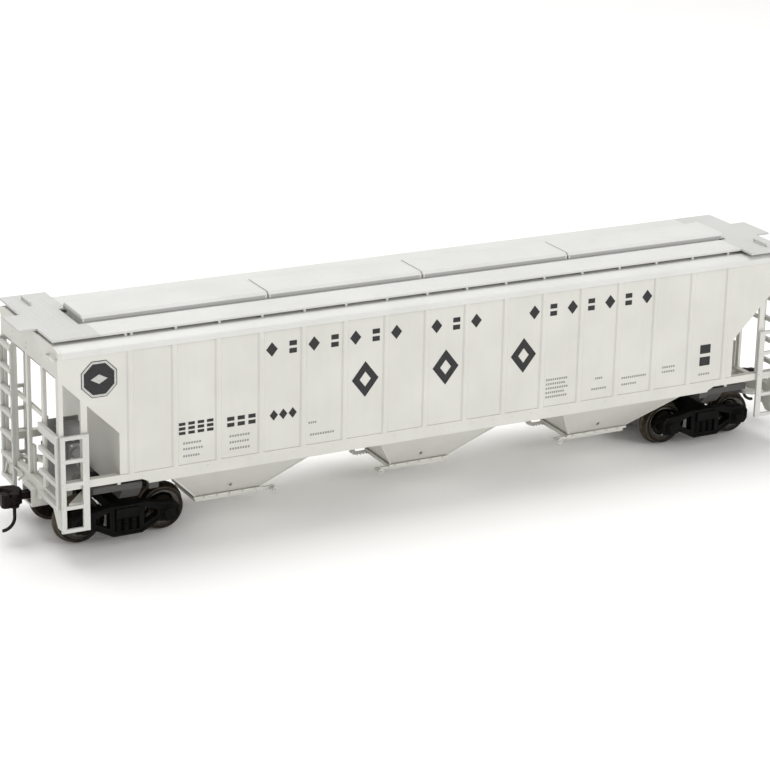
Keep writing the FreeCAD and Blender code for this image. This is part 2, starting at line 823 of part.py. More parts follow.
def end_ladders():
    """A tall ladder at the right of each end and a low one at its left, seen from outside.

    The low one's inner stile is the end post, and its top rung is a deeper step.
    """
    outer = "end_ladder_wide - end_stile_width"
    step = f"(ladder_high - rung_height / 2 - rung_first) / {SIDE_RUNGS - 1}"
    low_rungs = [f"rung_first + {index + 1} * {step}" for index in range(LOW_RUNGS)]
    top_step = block(("end_face", "end_rung_face"), ("-end_ladder_wide", "-low_ladder_near"),
                     ("ladder_high - top_step_high", "ladder_high"))
    low_start = f"{low_rungs[0]} - end_rung_high / 2"
    low = mirror(fuse([end_stile(outer, low_start, "ladder_high"), top_step,
                       *end_rungs("low_ladder_near", low_rungs)]), (0, 1, 0))
    tall_rungs = [f"tall_rung_first + {index} * tall_rung_pitch" for index in range(TALL_RUNGS)]
    tall_start = "tall_rung_first - end_rung_high / 2"
    tall = fuse([end_stile(outer, tall_start, "tall_ladder_high"),
                 end_stile("end_ladder_near", tall_start, "tall_ladder_high"),
                 *end_rungs("end_ladder_near", tall_rungs)])
    for ladder, label in ((tall, "tall_end_ladders"), (low, "low_end_ladders")):
        other = mirror(mirror(ladder, (1, 0, 0)), (0, 1, 0))
        publish(group([ladder, other]), label)


def grab_iron(start, end, height, back, front):
    """A wire handhold across an end face, on two feet."""
    feet = (f"{start} + wire_radius", f"{end} - wire_radius")
    parts = [rod("y", front, start, height, "wire_radius", f"({end}) - ({start})")]
    parts += [rod("x", back, y, height, "wire_foot_radius", f"({front}) - ({back})") for y in feet]
    return fuse(parts)


def roof_grab():
    """A wire handhold lying over a corner of the end walkway, on two feet."""
    feet = ("roof_grab_start + wire_radius", "roof_grab_end - wire_radius")
    parts = [rod("y", "roof_grab_x", "roof_grab_start", "roof_grab_high", "wire_radius",
                 "roof_grab_end - roof_grab_start")]
    parts += [rod("z", "roof_grab_x", y, "board_high", "wire_foot_radius", "roof_grab_high - board_high")
              for y in feet]
    return fuse(parts)


def grab_irons():
    """Handholds at both ends: one on the fascia and one on the roof's corner."""
    handle = grab_iron("handle_start", "handle_end", "handle_high", "end_face", "handle_center")
    irons = [handle, roof_grab()]
    irons += [mirror(mirror(iron, (1, 0, 0)), (0, 1, 0)) for iron in irons]
    publish(group(irons), "grab_irons")


# draft gear and couplers

def draft_box(label, turned):
    """The coupler pocket under the centre sill: open at the front and closed below by its cover."""
    outer = rectangle(("draft_in", "draft_out"), both_ways("draft_half"))
    inner = rectangle(("draft_in + draft_wall", "draft_out"), both_ways("draft_half - draft_wall"))
    cover_bore = "cover_screw_radius + screw_clearance"
    body = new_body()
    pad(body, "XY_Plane", outer, "draft_low", "center_sill_low")
    pocket(body, "XY_Plane", inner, "draft_low", "draft_roof")
    round_pad(body, "XY_Plane", "draft_pivot", "0", "pivot_radius", "draft_low", "draft_roof")
    round_pocket(body, "XY_Plane", "draft_pivot", "0", cover_bore, "draft_low", "draft_roof")
    publish(body, label, turned)


def draft_covers():
    """Both pocket covers, each with a hole for its screw."""
    cover_bore = "cover_screw_radius + screw_clearance"
    body = new_body()
    outline = rectangle(("draft_in", "draft_out"), both_ways("draft_half"))
    pad(body, "XY_Plane", outline, "cover_low", "draft_low")
    round_pocket(body, "XY_Plane", "draft_pivot", "0", cover_bore, "cover_low", "draft_low")
    publish(group([body, mirror(body, (1, 0, 0))]), "draft_covers")


def cover_screws():
    """Both cover screws, heads down."""
    head_low = "cover_low - cover_screw_head / 2"
    screw = fuse([
        rod("z", "draft_pivot", "0", head_low, "cover_screw_head", "cover_screw_head / 2"),
        rod("z", "draft_pivot", "0", "cover_low", "cover_screw_radius",
            "draft_roof - cover_low - draft_wall"),
    ])
    publish(group([screw, mirror(screw, (1, 0, 0))]), "cover_screws")


def from_pivot(dx, dy):
    """A point given from the knuckle's pivot."""
    return f"knuckle_x + {dx}", f"knuckle_y + {dy}"


def coupler(label, turned):
    """Shank with its eye, and the head with its guard arm and the two lugs that hold the knuckle."""
    head = [
        ("knuckle_x - 2.4", "-shank_half"),
        from_pivot(-1.4, -4.9),
        from_pivot(1.4, -5.5),
        from_pivot(3.0, -5.1),
        from_pivot(2.8, -4.3),
        from_pivot(1.3, -3.8),
        from_pivot(0.6, -2.9),
        from_pivot(0.5, -1.6),
        from_pivot(-0.2, -1.35),
        from_pivot(-1.6, -0.9),
        ("knuckle_x - 2.4", "shank_half"),
    ]
    body = new_body()
    shank = rectangle(("draft_pivot", "knuckle_x - 1.2"), both_ways("shank_half"))
    pad(body, "XY_Plane", shank, "shank_low", "shank_high")
    round_pad(body, "XY_Plane", "draft_pivot", "0", "eye_radius", "shank_low", "shank_high")
    round_pocket(body, "XY_Plane", "draft_pivot", "0", "pivot_radius + 0.05", "shank_low", "shank_high")
    pad(body, "XY_Plane", head, "head_low", "head_high")
    web = [from_pivot(-1.6, -0.9), from_pivot(-0.2, -1.35), from_pivot(0.7, -0.85), from_pivot(-0.9, 0.65)]
    for low, high in (("head_low", "knuckle_low - 0.1"), ("knuckle_high + 0.1", "head_high")):
        round_pad(body, "XY_Plane", "knuckle_x", "knuckle_y", "lug_radius", low, high)
        pad(body, "XY_Plane", web, low, high)
    round_pocket(body, "XY_Plane", "knuckle_x", "knuckle_y", "pin_radius + 0.05", "head_low", "head_high")
    publish(body, label, turned)


def knuckle(label, turned):
    """The hooked jaw on its hub."""
    jaw = [
        from_pivot(1.25, 0.75),
        from_pivot(2.5, 0.6),
        from_pivot(2.95, 0.0),
        from_pivot(2.85, -1.8),
        from_pivot(2.0, -2.1),
        from_pivot(1.75, -1.5),
        from_pivot(1.3, -0.9),
    ]
    tongue = [from_pivot(0, 0.75), from_pivot(0, -0.7), from_pivot(1.6, -0.8), from_pivot(1.6, 0.7)]
    body = new_body()
    round_pad(body, "XY_Plane", "knuckle_x", "knuckle_y", "knuckle_hub", "knuckle_low", "knuckle_high")
    pad(body, "XY_Plane", tongue, "knuckle_low", "knuckle_high")
    pad(body, "XY_Plane", jaw, "head_low + 0.1", "head_high - 0.1")
    round_pocket(body, "XY_Plane", "knuckle_x", "knuckle_y", "pin_radius", "knuckle_low", "knuckle_high")
    publish(body, label, turned)


def trip_pin(label, turned):
    """The knuckle's pivot wire, which runs on down and curves forward to stand for the air hose."""
    length = "head_high - pin_straight_low"
    straight = rod("z", "knuckle_x", "knuckle_y", "pin_straight_low", "pin_radius", length)
    bend = doc.addObject("Part::Torus", "Bend")
    upright = FreeCAD.Rotation(FreeCAD.Vector(1, 0, 0), 90)
    downward = FreeCAD.Rotation(FreeCAD.Vector(0, 1, 0), 180)
    bend.Placement = FreeCAD.Placement(FreeCAD.Vector(), downward * upright)
    bend.Angle3 = 90
    tie(bend, Radius1="pin_bend", Radius2="pin_radius")
    tie(bend, Placement__Base__x="knuckle_x + pin_bend", Placement__Base__y="knuckle_y",
        Placement__Base__z="pin_straight_low")
    publish(fuse([straight, bend]), label, turned)


# trucks

def side_outline():
    """The outside of a truck side frame, drawn about the truck's centre."""
    return mirrored([
        ("spring_window + 0.4", "frame_low"),
        ("half_wheelbase - 2.6", "frame_low + 2.4"),
        ("half_wheelbase - 2.1", "frame_low + 1.9"),
        ("half_wheelbase + 2.0", "frame_low + 1.9"),
        ("frame_end", "frame_low + 2.8"),
        ("frame_end", "frame_high - 2.0"),
        ("frame_end - 0.9", "frame_high - 1.1"),
        ("half_wheelbase - 1.8", "frame_high - 0.8"),
        ("spring_window + 2.0", "frame_high"),
    ])


def side_frame():
    """One cast side frame with its spring nest and roller bearings, on the -Y side."""
    body = new_body()
    y = ("-frame_out", "-frame_in")
    pad(body, "XZ_Plane", side_outline(), *y)
    nest = rectangle(both_ways("spring_window"), ("spring_floor", "frame_high - 0.7"))
    pocket(body, "XZ_Plane", nest, *y)
    for side in (1, -1):
        inner = f"{side} * (spring_window + 1.2)"
        outer = f"{side} * (half_wheelbase - 2.7)"
        pocket(body, "XZ_Plane", [(inner, "frame_low + 2.0"), (outer, "frame_low + 3.6"),
                                  (outer, "frame_high - 2.4"), (inner, "frame_high - 1.3")], *y)
        center = f"{side} * half_wheelbase"
        round_pad(body, "XZ_Plane", center, AXLE_HIGH, "bearing_radius", "-frame_out - 0.25", "-frame_in")
        round_pad(body, "XZ_Plane", center, AXLE_HIGH, "cap_radius", "-cap_out", "-frame_out")
    middle = "-(frame_in + frame_out) / 2"
    springs = [rod("z", f"{step} * spring_pitch", middle, "spring_floor - 0.1",
                   "spring_radius", "bolster_low - spring_floor + 0.2") for step in (-1, 0, 1)]
    return [body, *springs]


def bearing_pockets():
    """The conical seats of the axle points, as the tools that cut them."""
    tools = []
    taper = "(journal_radius / (axle_point - journal_end))"
    reach = f"(bearing_gap / {taper} + axle_point - frame_in)"
    for x in ("-half_wheelbase", "half_wheelbase"):
        for direction in (1, -1):
            seat = cone(f"{direction} * frame_in", f"{reach} * {taper}", reach, direction)
            tools.append(tie(seat, Placement__Base__x=x, Placement__Base__z=AXLE_HIGH))
    return fuse(tools)


def truck_frame(label, place):
    """Both side frames and the bolster, moulded as one rigid frame, with the pivot hole."""
    right = fuse(side_frame())
    bolster = block(both_ways("bolster_half"), both_ways("bolster_end"), ("bolster_low", "bolster_high"))
    bowl = rod("z", "0", "0", "bolster_low", "bowl_radius", "bowl_high - bolster_low")
    solid = fuse([right, mirror(right, (0, 1, 0)), bolster, bowl])
    hole = rod("z", "0", "0", "bolster_low - 1", "screw_radius + pivot_gap", "bowl_high - bolster_low + 2")
    frame = cut(cut(solid, bearing_pockets()), hole)
    tie(frame, Placement__Base__x=place)
    publish(frame, label)


def axle(label, place):
    """A pin-point axle."""
    wheel_seat = "half_back_to_back + wheel_width"
    parts = [
        rod("y", "0", f"-({wheel_seat})", "0", "axle_radius", f"2 * ({wheel_seat})"),
        rod("y", "0", "-journal_end", "0", "journal_radius", "2 * journal_end"),
        cone("journal_end", "journal_radius", "axle_point - journal_end", 1),
        cone("-journal_end", "journal_radius", "axle_point - journal_end", -1),
    ]
    shaft = fuse(parts)
    tie(shaft, Placement__Base__x=place, Placement__Base__z=AXLE_HIGH)
    publish(shaft, label)


def wheel():
    """A flanged wheel on the +Y side, turned about the axle line."""
    back = "half_back_to_back"
    face = "half_back_to_back + wheel_width"
    profile = [
        ("axle_radius", back),
        ("flange_radius - 0.3", back),
        ("flange_radius", f"{back} + 0.3 * flange_width"),
        ("flange_radius - 0.05", f"{back} + 0.7 * flange_width"),
        ("tread_radius + 0.05", f"{back} + flange_width"),
        ("tread_radius - 0.08", f"{face} - 0.15"),
        ("tread_radius - 0.25", face),
        ("rim_radius", face),
        ("rim_radius - 0.35", f"{face} - dish_depth"),
        ("hub_radius + 0.35", f"{face} - dish_depth"),
        ("hub_radius", face),
        ("axle_radius", face),
    ]
    body = new_body()
    sketch = sketch_on(body, "XY_Plane", "0")
    draw_outline(sketch, profile)
    turning = body.newObject("PartDesign::Revolution", "Wheel")
    turning.Profile = sketch
    turning.ReferenceAxis = (sketch, ["V_Axis"])
    turning.Angle = 360
    return body


def wheels(label, place):
    one = wheel()
    pair = group([one, mirror(one, (0, 1, 0))])
    tie(pair, Placement__Base__x=place, Placement__Base__z=AXLE_HIGH)
    publish(pair, label)


def truck_screws():
    """Both truck screws, slotted heads down."""
    head_high = "bolster_low - 0.05"
    shape = fuse([
        rod("z", "truck_half_spacing", "0", f"{head_high} - screw_head", "screw_head_radius", "screw_head"),
        rod("z", "truck_half_spacing", "0", head_high, "screw_radius",
            f"boss_bore_top - 0.2 - ({head_high})"),
    ])
    head_low = f"{head_high} - screw_head"
    slot = block(("truck_half_spacing - screw_head_radius", "truck_half_spacing + screw_head_radius"),
                 both_ways("screw_slot / 2"), (head_low, f"{head_low} + screw_slot"))
    screw = cut(shape, slot)
    publish(group([screw, mirror(screw, (1, 0, 0))]), "truck_screws")


# brake gear

def brake_rigging():
    """Cylinder, valve and reservoir on a plate in the A end cage, and the pipes between them."""
    plate_face = "(-bracket_plate_y)"
    publish(block(("-(end_face - end_post_depth)", "-bracket_plate_in"),
                  (plate_face, f"{plate_face} + bracket_plate"),
                  ("bracket_plate_low", "bracket_plate_high")), "brake_bracket")
    y = f"({plate_face} - cylinder_radius)"
    publish(fuse([
        rod("x", "-cylinder_out", y, "cylinder_high", "cylinder_radius", "cylinder_out - cylinder_in"),
        rod("x", "-cylinder_in", y, "cylinder_high", "0.8 * cylinder_radius", "0.7"),
        rod("x", "-cylinder_out - 0.6", y, "cylinder_high", "0.3 * cylinder_radius", "0.7"),
    ]), "brake_cylinder")
    publish(fuse([
        block(("-valve_out", "-valve_in"), (f"{plate_face} - valve_width", plate_face),
              ("valve_low", "valve_high")),
        rod("y", "-(valve_in + valve_out) / 2", f"{plate_face} - valve_width - 0.8",
            "(valve_low + valve_high) / 2", "1.1", "1"),
    ]), "control_valve")
    start = f"{plate_face} - reservoir_length"
    publish(fuse([
        rod("y", "-reservoir_x", start, "reservoir_high", "reservoir_radius", "reservoir_length"),
        rod("y", "-reservoir_x", f"{start} - 0.4", "reservoir_high", "0.7 * reservoir_radius", "0.6"),
    ]), "air_reservoir")
    pipe_y = f"{plate_face} - 1.2"
    lever_rod = doc.addObject("Part::Cylinder", "LeverRod")
    lever_rod.Placement = FreeCAD.Placement(
        FreeCAD.Vector(), FreeCAD.Rotation(FreeCAD.Vector(1, 0, 0), -90 - ROD_FALL))
    tie(lever_rod, Radius="pipe_radius", Height="lever_rod_length")
    tie(lever_rod, Placement__Base__x="-end_sill_in + pipe_radius",
        Placement__Base__y="bracket_plate + 0.1 - bracket_plate_y", Placement__Base__z="lever_rod_high")
    publish(group([
        lever_rod,
        rod("z", "-(valve_in + valve_out) / 2", pipe_y, "valve_high", "pipe_radius",
            "cylinder_high - 0.97 * cylinder_radius - valve_high"),
        rod("z", "-(valve_in + valve_out) / 2", pipe_y, "reservoir_high + 0.995 * reservoir_radius",
            "pipe_radius", "valve_low - reservoir_high - 0.995 * reservoir_radius"),
    ]), "brake_pipes")


def brake_stand():
    """The gear housing of the hand brake on two straps, on the B end."""
    y = ("brake_wheel_y - stand_width / 2", "brake_wheel_y + stand_width / 2")
    z = ("brake_wheel_z - stand_height / 2", "brake_wheel_z + stand_height / 2")
    back = "end_face + stand_strap"
    publish(fuse([
        block((back, f"{back} + stand_depth"), y, z),
        block(("end_face", back), ("-1", "side_face - 1"), (z[0], f"{z[0]} + stand_strap")),
        block(("end_face", back), ("-1", "side_face - 1"), (f"{z[1]} - stand_strap", z[1])),
    ]), "brake_stand")


def brake_wheel():
    """The hand wheel with its hub, shaft and spokes."""
    rim = doc.addObject("Part::Torus", "Rim")
    rim.Placement = FreeCAD.Placement(FreeCAD.Vector(), AXIS_TURN["x"])
    tie(rim, Radius1="brake_wheel_radius - brake_rim_radius", Radius2="brake_rim_radius")
    tie(rim, Placement__Base__x="brake_wheel_x", Placement__Base__y="brake_wheel_y",
        Placement__Base__z="brake_wheel_z")
    shaft_start = "end_face + stand_strap + stand_depth"
    parts = [rim, rod("x", shaft_start, "brake_wheel_y", "brake_wheel_z", "brake_hub_radius",
                      f"brake_wheel_x + 0.4 - ({shaft_start})")]
    span = "brake_wheel_radius - brake_rim_radius"
    for step in range(3):
        spoke = doc.addObject("Part::Cylinder", "Spoke")
        turn = FreeCAD.Rotation(FreeCAD.Vector(1, 0, 0), 60 * step)
        spoke.Placement = FreeCAD.Placement(FreeCAD.Vector(), turn)
        tie(spoke, Radius="0.7 * brake_rim_radius", Height=f"2 * ({span})")
        tie(spoke, Placement__Base__x="brake_wheel_x",
            Placement__Base__y=f"brake_wheel_y + ({span}) * sin({60 * step})",
            Placement__Base__z=f"brake_wheel_z - ({span}) * cos({60 * step})")
        parts.append(spoke)
    publish(fuse(parts), "brake_wheel")


def build():
    for label, turned in (("right_side_sheet", False), ("left_side_sheet", True)):
        side_sheet(label, turned)
    side_sills()
    running_board("right_running_board", ("-board_out", "-board_in"))
    running_board("left_running_board", ("board_in", "board_out"))
    for end, turned in (("b", False), ("a", True)):
        end_frame(f"end_frame_{end}", turned)
        slope_sheet(f"slope_sheet_{end}", turned)
        end_platform(f"end_platform_{end}", turned)
        underframe(f"underframe_{end}", turned)
        end_sill(f"end_sill_{end}", turned)
        draft_box(f"draft_box_{end}", turned)
        coupler(f"coupler_{end}", turned)
        knuckle(f"knuckle_{end}", turned)
        trip_pin(f"trip_pin_{end}", turned)
    roof_panel()
    joints = ["-hatch_end", "-hatch_joint", "0", "hatch_joint", "hatch_end"]
    for index in range(4):
        hatch_cover(f"hatch_cover_{index + 1}", joints[index], joints[index + 1])
    board_brackets()
    for index, inner, opens in ((1, (1,), 1), (2, (-1, 1), -1), (3, (-1,), -1)):
        center = f"{index - 2} * bay_pitch"
        hopper_bay(f"hopper_bay_{index}", center, inner)
        outlet_gate(f"outlet_gate_{index}", center, inner, opens)
    weight_plate()
    side_ladders()
    end_ladders()
    grab_irons()
    draft_covers()
    cover_screws()
    for end, side in (("a", -1), ("b", 1)):
        truck_frame(f"truck_frame_{end}", f"{side} * truck_half_spacing")
    for index in range(4):
        truck = -1 if index < 2 else 1
        lead = -1 if index % 2 == 0 else 1
        place = f"{truck} * truck_half_spacing + {lead} * half_wheelbase"
        axle(f"axle_{index + 1}", place)
        wheels(f"wheels_{index + 1}", place)
    truck_screws()
    brake_rigging()
    brake_stand()
    brake_wheel()


def check():
    """Stop before writing anything if the document or a sub-part is faulty."""
    for thing in doc.Objects:
        if "Invalid" in thing.State or "Error" in thing.State:
            raise RuntimeError(f"{thing.Name} ({thing.Label}) failed: {thing.State}")
    for node in nodes:
        if node.Shape.isNull() or not node.Shape.isValid() or not node.Shape.Solids:
            raise RuntimeError(f"{node.Label} has no valid solid")


build()
doc.recompute()
check()
os.makedirs("parts", exist_ok=True)
for node in nodes:
    node.Shape.exportStep(f"parts/{node.Label}.step")
    print(f"{node.Label}: {len(node.Shape.Solids)} solid(s), {node.Shape.Volume:.2f} mm3")
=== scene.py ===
"""Looks of an HO scale three-bay covered hopper car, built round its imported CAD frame.

Lengths are in millimetres in the car's own frame (+X along the car to its brake-wheel end, +Z up) and
are turned into metres where a mesh, a material, a lamp or the camera is made. Shapes are drawn at one
end or on the right side (-Y) and repeated by a half turn or a mirror image.
"""
import math

import bpy
from mathutils import Matrix, Vector


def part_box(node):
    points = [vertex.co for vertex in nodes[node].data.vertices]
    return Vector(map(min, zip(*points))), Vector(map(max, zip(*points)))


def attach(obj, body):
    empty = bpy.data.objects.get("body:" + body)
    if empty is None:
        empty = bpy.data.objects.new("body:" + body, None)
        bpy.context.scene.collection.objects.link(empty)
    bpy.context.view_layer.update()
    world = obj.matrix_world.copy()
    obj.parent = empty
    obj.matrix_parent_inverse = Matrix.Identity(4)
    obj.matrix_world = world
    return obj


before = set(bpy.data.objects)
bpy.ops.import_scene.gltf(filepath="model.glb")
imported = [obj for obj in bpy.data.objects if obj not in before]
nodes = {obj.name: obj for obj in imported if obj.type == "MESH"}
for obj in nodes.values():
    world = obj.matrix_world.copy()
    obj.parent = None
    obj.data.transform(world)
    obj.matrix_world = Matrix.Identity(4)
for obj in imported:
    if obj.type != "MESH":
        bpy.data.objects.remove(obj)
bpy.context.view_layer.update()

MM = 0.001


def box(node):
    """Lowest and highest corner of a CAD node, in millimetres."""
    low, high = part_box(node)
    return low / MM, high / MM


def middle(node):
    """The centre of a CAD node's box, in millimetres."""
    low, high = box(node)
    return (low + high) / 2


# ---------------------------------------------------------------- measures shared by several pieces

RIB_DEEP = 0.35
RIB_PITCH = 10.67
SIDE = box("left_side_sheet")[1].y - RIB_DEEP
SILL_FACE = 18.75
PAD_TOP = 16.15
END = 97.0
BAY_PITCH = box("hopper_bay_2")[1].x - box("hopper_bay_2")[0].x
TRUCK = 79.2
AXLE_RADIUS = 1.0
AXLE_HIGH = box("axle_1")[1].z - AXLE_RADIUS
TREAD = 5.25
WHEEL_FACE = box("wheels_1")[1].y


def axle_line(index):
    return middle(f"axle_{index + 1}").x


# ---------------------------------------------------------------- materials


class Recipe:
    """A node material in the making, with one Principled shader."""

    def __init__(self, name):
        self.material = bpy.data.materials.new(name)
        self.material.use_nodes = True
        self.tree = self.material.node_tree
        self.shader = self.tree.nodes["Principled BSDF"]
        self.place = self.tree.nodes.new("ShaderNodeTexCoord").outputs["Object"]

    def link(self, source, target):
        self.tree.links.new(source, target)

    def node(self, kind, inputs=None, **settings):
        made = self.tree.nodes.new(kind)
        for key, value in settings.items():
            setattr(made, key, value)
        for key, value in (inputs or {}).items():
            if isinstance(value, bpy.types.NodeSocket):
                self.link(value, made.inputs[key])
            else:
                made.inputs[key].default_value = value
        return made

    def noise(self, size, detail=2, stretch=None):
        """Noise with blobs about size millimetres across, from 0 to 1; a stretch below 1 lengthens them."""
        place = self.place
        if stretch:
            place = self.node("ShaderNodeMapping", {"Vector": place, "Scale": stretch}).outputs[0]
        inputs = {"Vector": place, "Scale": 1 / (size * MM), "Detail": detail}
        return self.node("ShaderNodeTexNoise", inputs).outputs["Fac"]

    def remap(self, value, old, new):
        """Carries one range over to another and holds its ends."""
        inputs = {"Value": value, "From Min": old[0], "From Max": old[1], "To Min": new[0], "To Max": new[1]}
        return self.node("ShaderNodeMapRange", inputs).outputs[0]

    def maths(self, operation, first, second=0.0):
        return self.node("ShaderNodeMath", {0: first, 1: second}, operation=operation).outputs[0]

    def mix(self, share, first, second):
        """A colour between two colours."""
        made = self.node("ShaderNodeMix", data_type="RGBA")
        for index, value in ((0, share), (6, first), (7, second)):
            if isinstance(value, bpy.types.NodeSocket):
                self.link(value, made.inputs[index])
            else:
                made.inputs[index].default_value = (*value, 1)
        return made.outputs[2]

    def edge(self, radius):
        """1 along sharp edges, falling to 0 on open faces."""
        soft = self.node("ShaderNodeBevel", {"Radius": radius * MM}, samples=4).outputs[0]
        true = self.node("ShaderNodeNewGeometry").outputs["Normal"]
        alike = self.node("ShaderNodeVectorMath", {0: soft, 1: true}, operation="DOT_PRODUCT")
        return self.remap(alike.outputs["Value"], (0.98, 0.75), (0, 1))

    def crease(self, reach):
        """1 in the open, falling to 0 in corners and under ledges."""
        return self.node("ShaderNodeAmbientOcclusion", {"Distance": reach * MM}, samples=6).outputs["AO"]

    def bump(self, height, strength, depth):
        made = self.node("ShaderNodeBump", {"Height": height, "Strength": strength, "Distance": depth * MM})
        self.link(made.outputs[0], self.shader.inputs["Normal"])

    def colour(self, value):
        self.link(value, self.shader.inputs["Base Color"])

    def roughness(self, value, least, most):
        """Roughness between two values, following a noise."""
        self.link(self.remap(value, (0.3, 0.7), (least, most)), self.shader.inputs["Roughness"])

    def settle(self, **values):
        """Sets constant inputs of the shader, with _ in their names for a space."""
        for name, value in values.items():
            self.shader.inputs[name.replace("_", " ")].default_value = value


# A dark grey for the grime streaks and for the painted shade in corners.
GRIME_AND_SHADE = (0.35, 0.34, 0.30)
RUBBED = (0.9, 0.9, 0.88)


def painted(name, light, dark, rough=0.42, worn=0.12, corner_shade=0.45, shade=None):
    """Sprayed paint on moulded plastic: faint cloudiness, fine grain, painted shade in corners and rubbed
    edges.

    shade is painted shade, given as an axis, two distances and a tone: the tone covers what is nearer than
    the first distance to the car's middle along the axis, and fades out by the second.
    """
    recipe = Recipe(name)
    clouds = recipe.remap(recipe.noise(14, detail=3), (0.35, 0.68), (0, 1))
    streaks = recipe.remap(recipe.noise(3, stretch=(1.6, 1.6, 0.25)), (0.5, 0.8), (0, 0.05))
    # painted shade: ambient occlusion darkens corners and the undersides of ledges; the third keyword sets
    # how dark
    corners = recipe.remap(recipe.crease(1.2), (0.25, 0.85), (corner_shade, 0))
    tone = recipe.mix(clouds, dark, light)
    tone = recipe.mix(streaks, tone, GRIME_AND_SHADE)
    tone = recipe.mix(corners, tone, GRIME_AND_SHADE)
    tone = recipe.mix(recipe.maths("MULTIPLY", recipe.edge(0.12), worn), tone, RUBBED)
    # painted shade: a dark tone over one band of the part, standing for the shade on it
    if shade:
        axis, dark_to, light_from, shade_tone = shade
        parts = recipe.node("ShaderNodeSeparateXYZ", {"Vector": recipe.place})
        reach = recipe.maths("ABSOLUTE", parts.outputs[axis])
        share = recipe.remap(reach, (dark_to * MM, light_from * MM), (0, 1))
        tone = recipe.mix(share, shade_tone, tone)
    recipe.colour(tone)
    grain = recipe.noise(0.22, detail=3)
    recipe.roughness(grain, rough - 0.06, rough + 0.08)
    recipe.settle(Specular_IOR_Level=0.42)
    recipe.bump(grain, strength=0.35, depth=0.02)
    return recipe.material


def moulded(name, base, lit, rough, gloss):
    """Plastic moulded in its own colour, with a fine grain, dusty patches and edges rubbed lighter."""
    recipe = Recipe(name)
    blotches = recipe.remap(recipe.noise(2.2, detail=3), (0.35, 0.7), (0, 0.6))
    dust = recipe.remap(recipe.noise(0.7, detail=4), (0.55, 0.8), (0, 0.25))
    tone = recipe.mix(blotches, base, lit)
    tone = recipe.mix(dust, tone, lit)
    recipe.colour(recipe.mix(recipe.maths("MULTIPLY", recipe.edge(0.1), 0.5), tone, lit))
    grain = recipe.noise(0.16, detail=3)
    recipe.roughness(grain, rough - 0.08, rough + 0.1)
    recipe.settle(Specular_IOR_Level=gloss)
    recipe.bump(grain, strength=0.4, depth=0.025)
    return recipe.material


def metal(name, tone, dull, rough, stretch=None):
    """Turned or rolled metal, tarnished in patches."""
    recipe = Recipe(name)
    tarnish = recipe.remap(recipe.noise(1.4, detail=4), (0.4, 0.7), (0, 1))
    recipe.colour(recipe.mix(tarnish, tone, dull))
    scratches = recipe.noise(0.3, detail=3, stretch=stretch)
    recipe.roughness(scratches, rough - 0.1, rough + 0.12)
    recipe.settle(Metallic=1.0)
    recipe.bump(scratches, strength=0.25, depth=0.01)
    return recipe.material


def wheel_metal_at(name, axle_x):
    """Blackened wheel faces and a browner worn tread, told apart by distance from the axle line."""
    recipe = Recipe(name)
    parts = recipe.node("ShaderNodeSeparateXYZ", {"Vector": recipe.place})
    along = recipe.maths("SUBTRACT", parts.outputs["X"], axle_x * MM)
    high = recipe.maths("SUBTRACT", parts.outputs["Z"], AXLE_HIGH * MM)
    spoke = recipe.node("ShaderNodeCombineXYZ", {"X": along, "Y": high}).outputs[0]
    radius = recipe.node("ShaderNodeVectorMath", {0: spoke}, operation="LENGTH").outputs["Value"]
    tread = recipe.remap(radius, ((TREAD - 0.35) * MM, (TREAD - 0.2) * MM), (0, 1))
    blotches = recipe.remap(recipe.noise(1.1, detail=4), (0.35, 0.7), (0, 1))
    face = recipe.mix(blotches, (0.012, 0.010, 0.008), (0.035, 0.028, 0.02))
    worn = recipe.mix(blotches, (0.10, 0.078, 0.055), (0.055, 0.045, 0.035))
    recipe.colour(recipe.mix(tread, face, worn))
    lines = recipe.noise(0.25, detail=3, stretch=(1, 8, 1))
    recipe.roughness(lines, 0.3, 0.5)
    recipe.settle(Metallic=0.85)
    recipe.bump(lines, strength=0.3, depth=0.01)
    return recipe.material


def printed(name, ink):
    """Thin print: a flat ink, a little uneven, with the grain of the paint under it."""
    recipe = Recipe(name)
    thin = recipe.remap(recipe.noise(0.5, detail=4), (0.4, 0.75), (0, 0.35))
    recipe.colour(recipe.mix(thin, ink, tuple(value * 1.6 + 0.02 for value in ink)))
    grain = recipe.noise(0.22, detail=3)
    recipe.roughness(grain, 0.5, 0.65)
    recipe.bump(grain, strength=0.3, depth=0.01)
    return recipe.material


BODY_TONES = ((0.665, 0.66, 0.615), (0.62, 0.615, 0.57))
ROOF_TONES = ((0.68, 0.68, 0.66), (0.64, 0.64, 0.615))
# The roof's roughness and the strength of its painted corner shade.
ROOF_ROUGH_AND_CORNER_SHADE = {"rough": 0.46, "corner_shade": 0.12}
# Near-black painted shade under the body: the underframe's middle and the sills' pads.
UNDER_BODY_SHADE = (0.06, 0.058, 0.055)
# Darker grey painted shade on the hatch covers' sides.
HATCH_SIDE_SHADE = (0.4, 0.4, 0.39)

body_paint = painted("body_paint", *BODY_TONES)
# painted shade: the underframe is near-black within 89 mm of the middle, where it lies in shade under the
# body, and body grey in the end cages
chassis_paint_and_shade = painted("chassis_paint_and_shade", *BODY_TONES, shade=("X", 89.0, 90.0, UNDER_BODY_SHADE))
# painted shade: the side sills are near-black below the pads' top, for the jacking pads in shade under the
# sill
sill_paint_and_shade = painted("sill_paint_and_shade", *BODY_TONES, shade=("Z", PAD_TOP - 0.05, PAD_TOP + 0.05, UNDER_BODY_SHADE))
roof_paint = painted("roof_paint", *ROOF_TONES, **ROOF_ROUGH_AND_CORNER_SHADE)
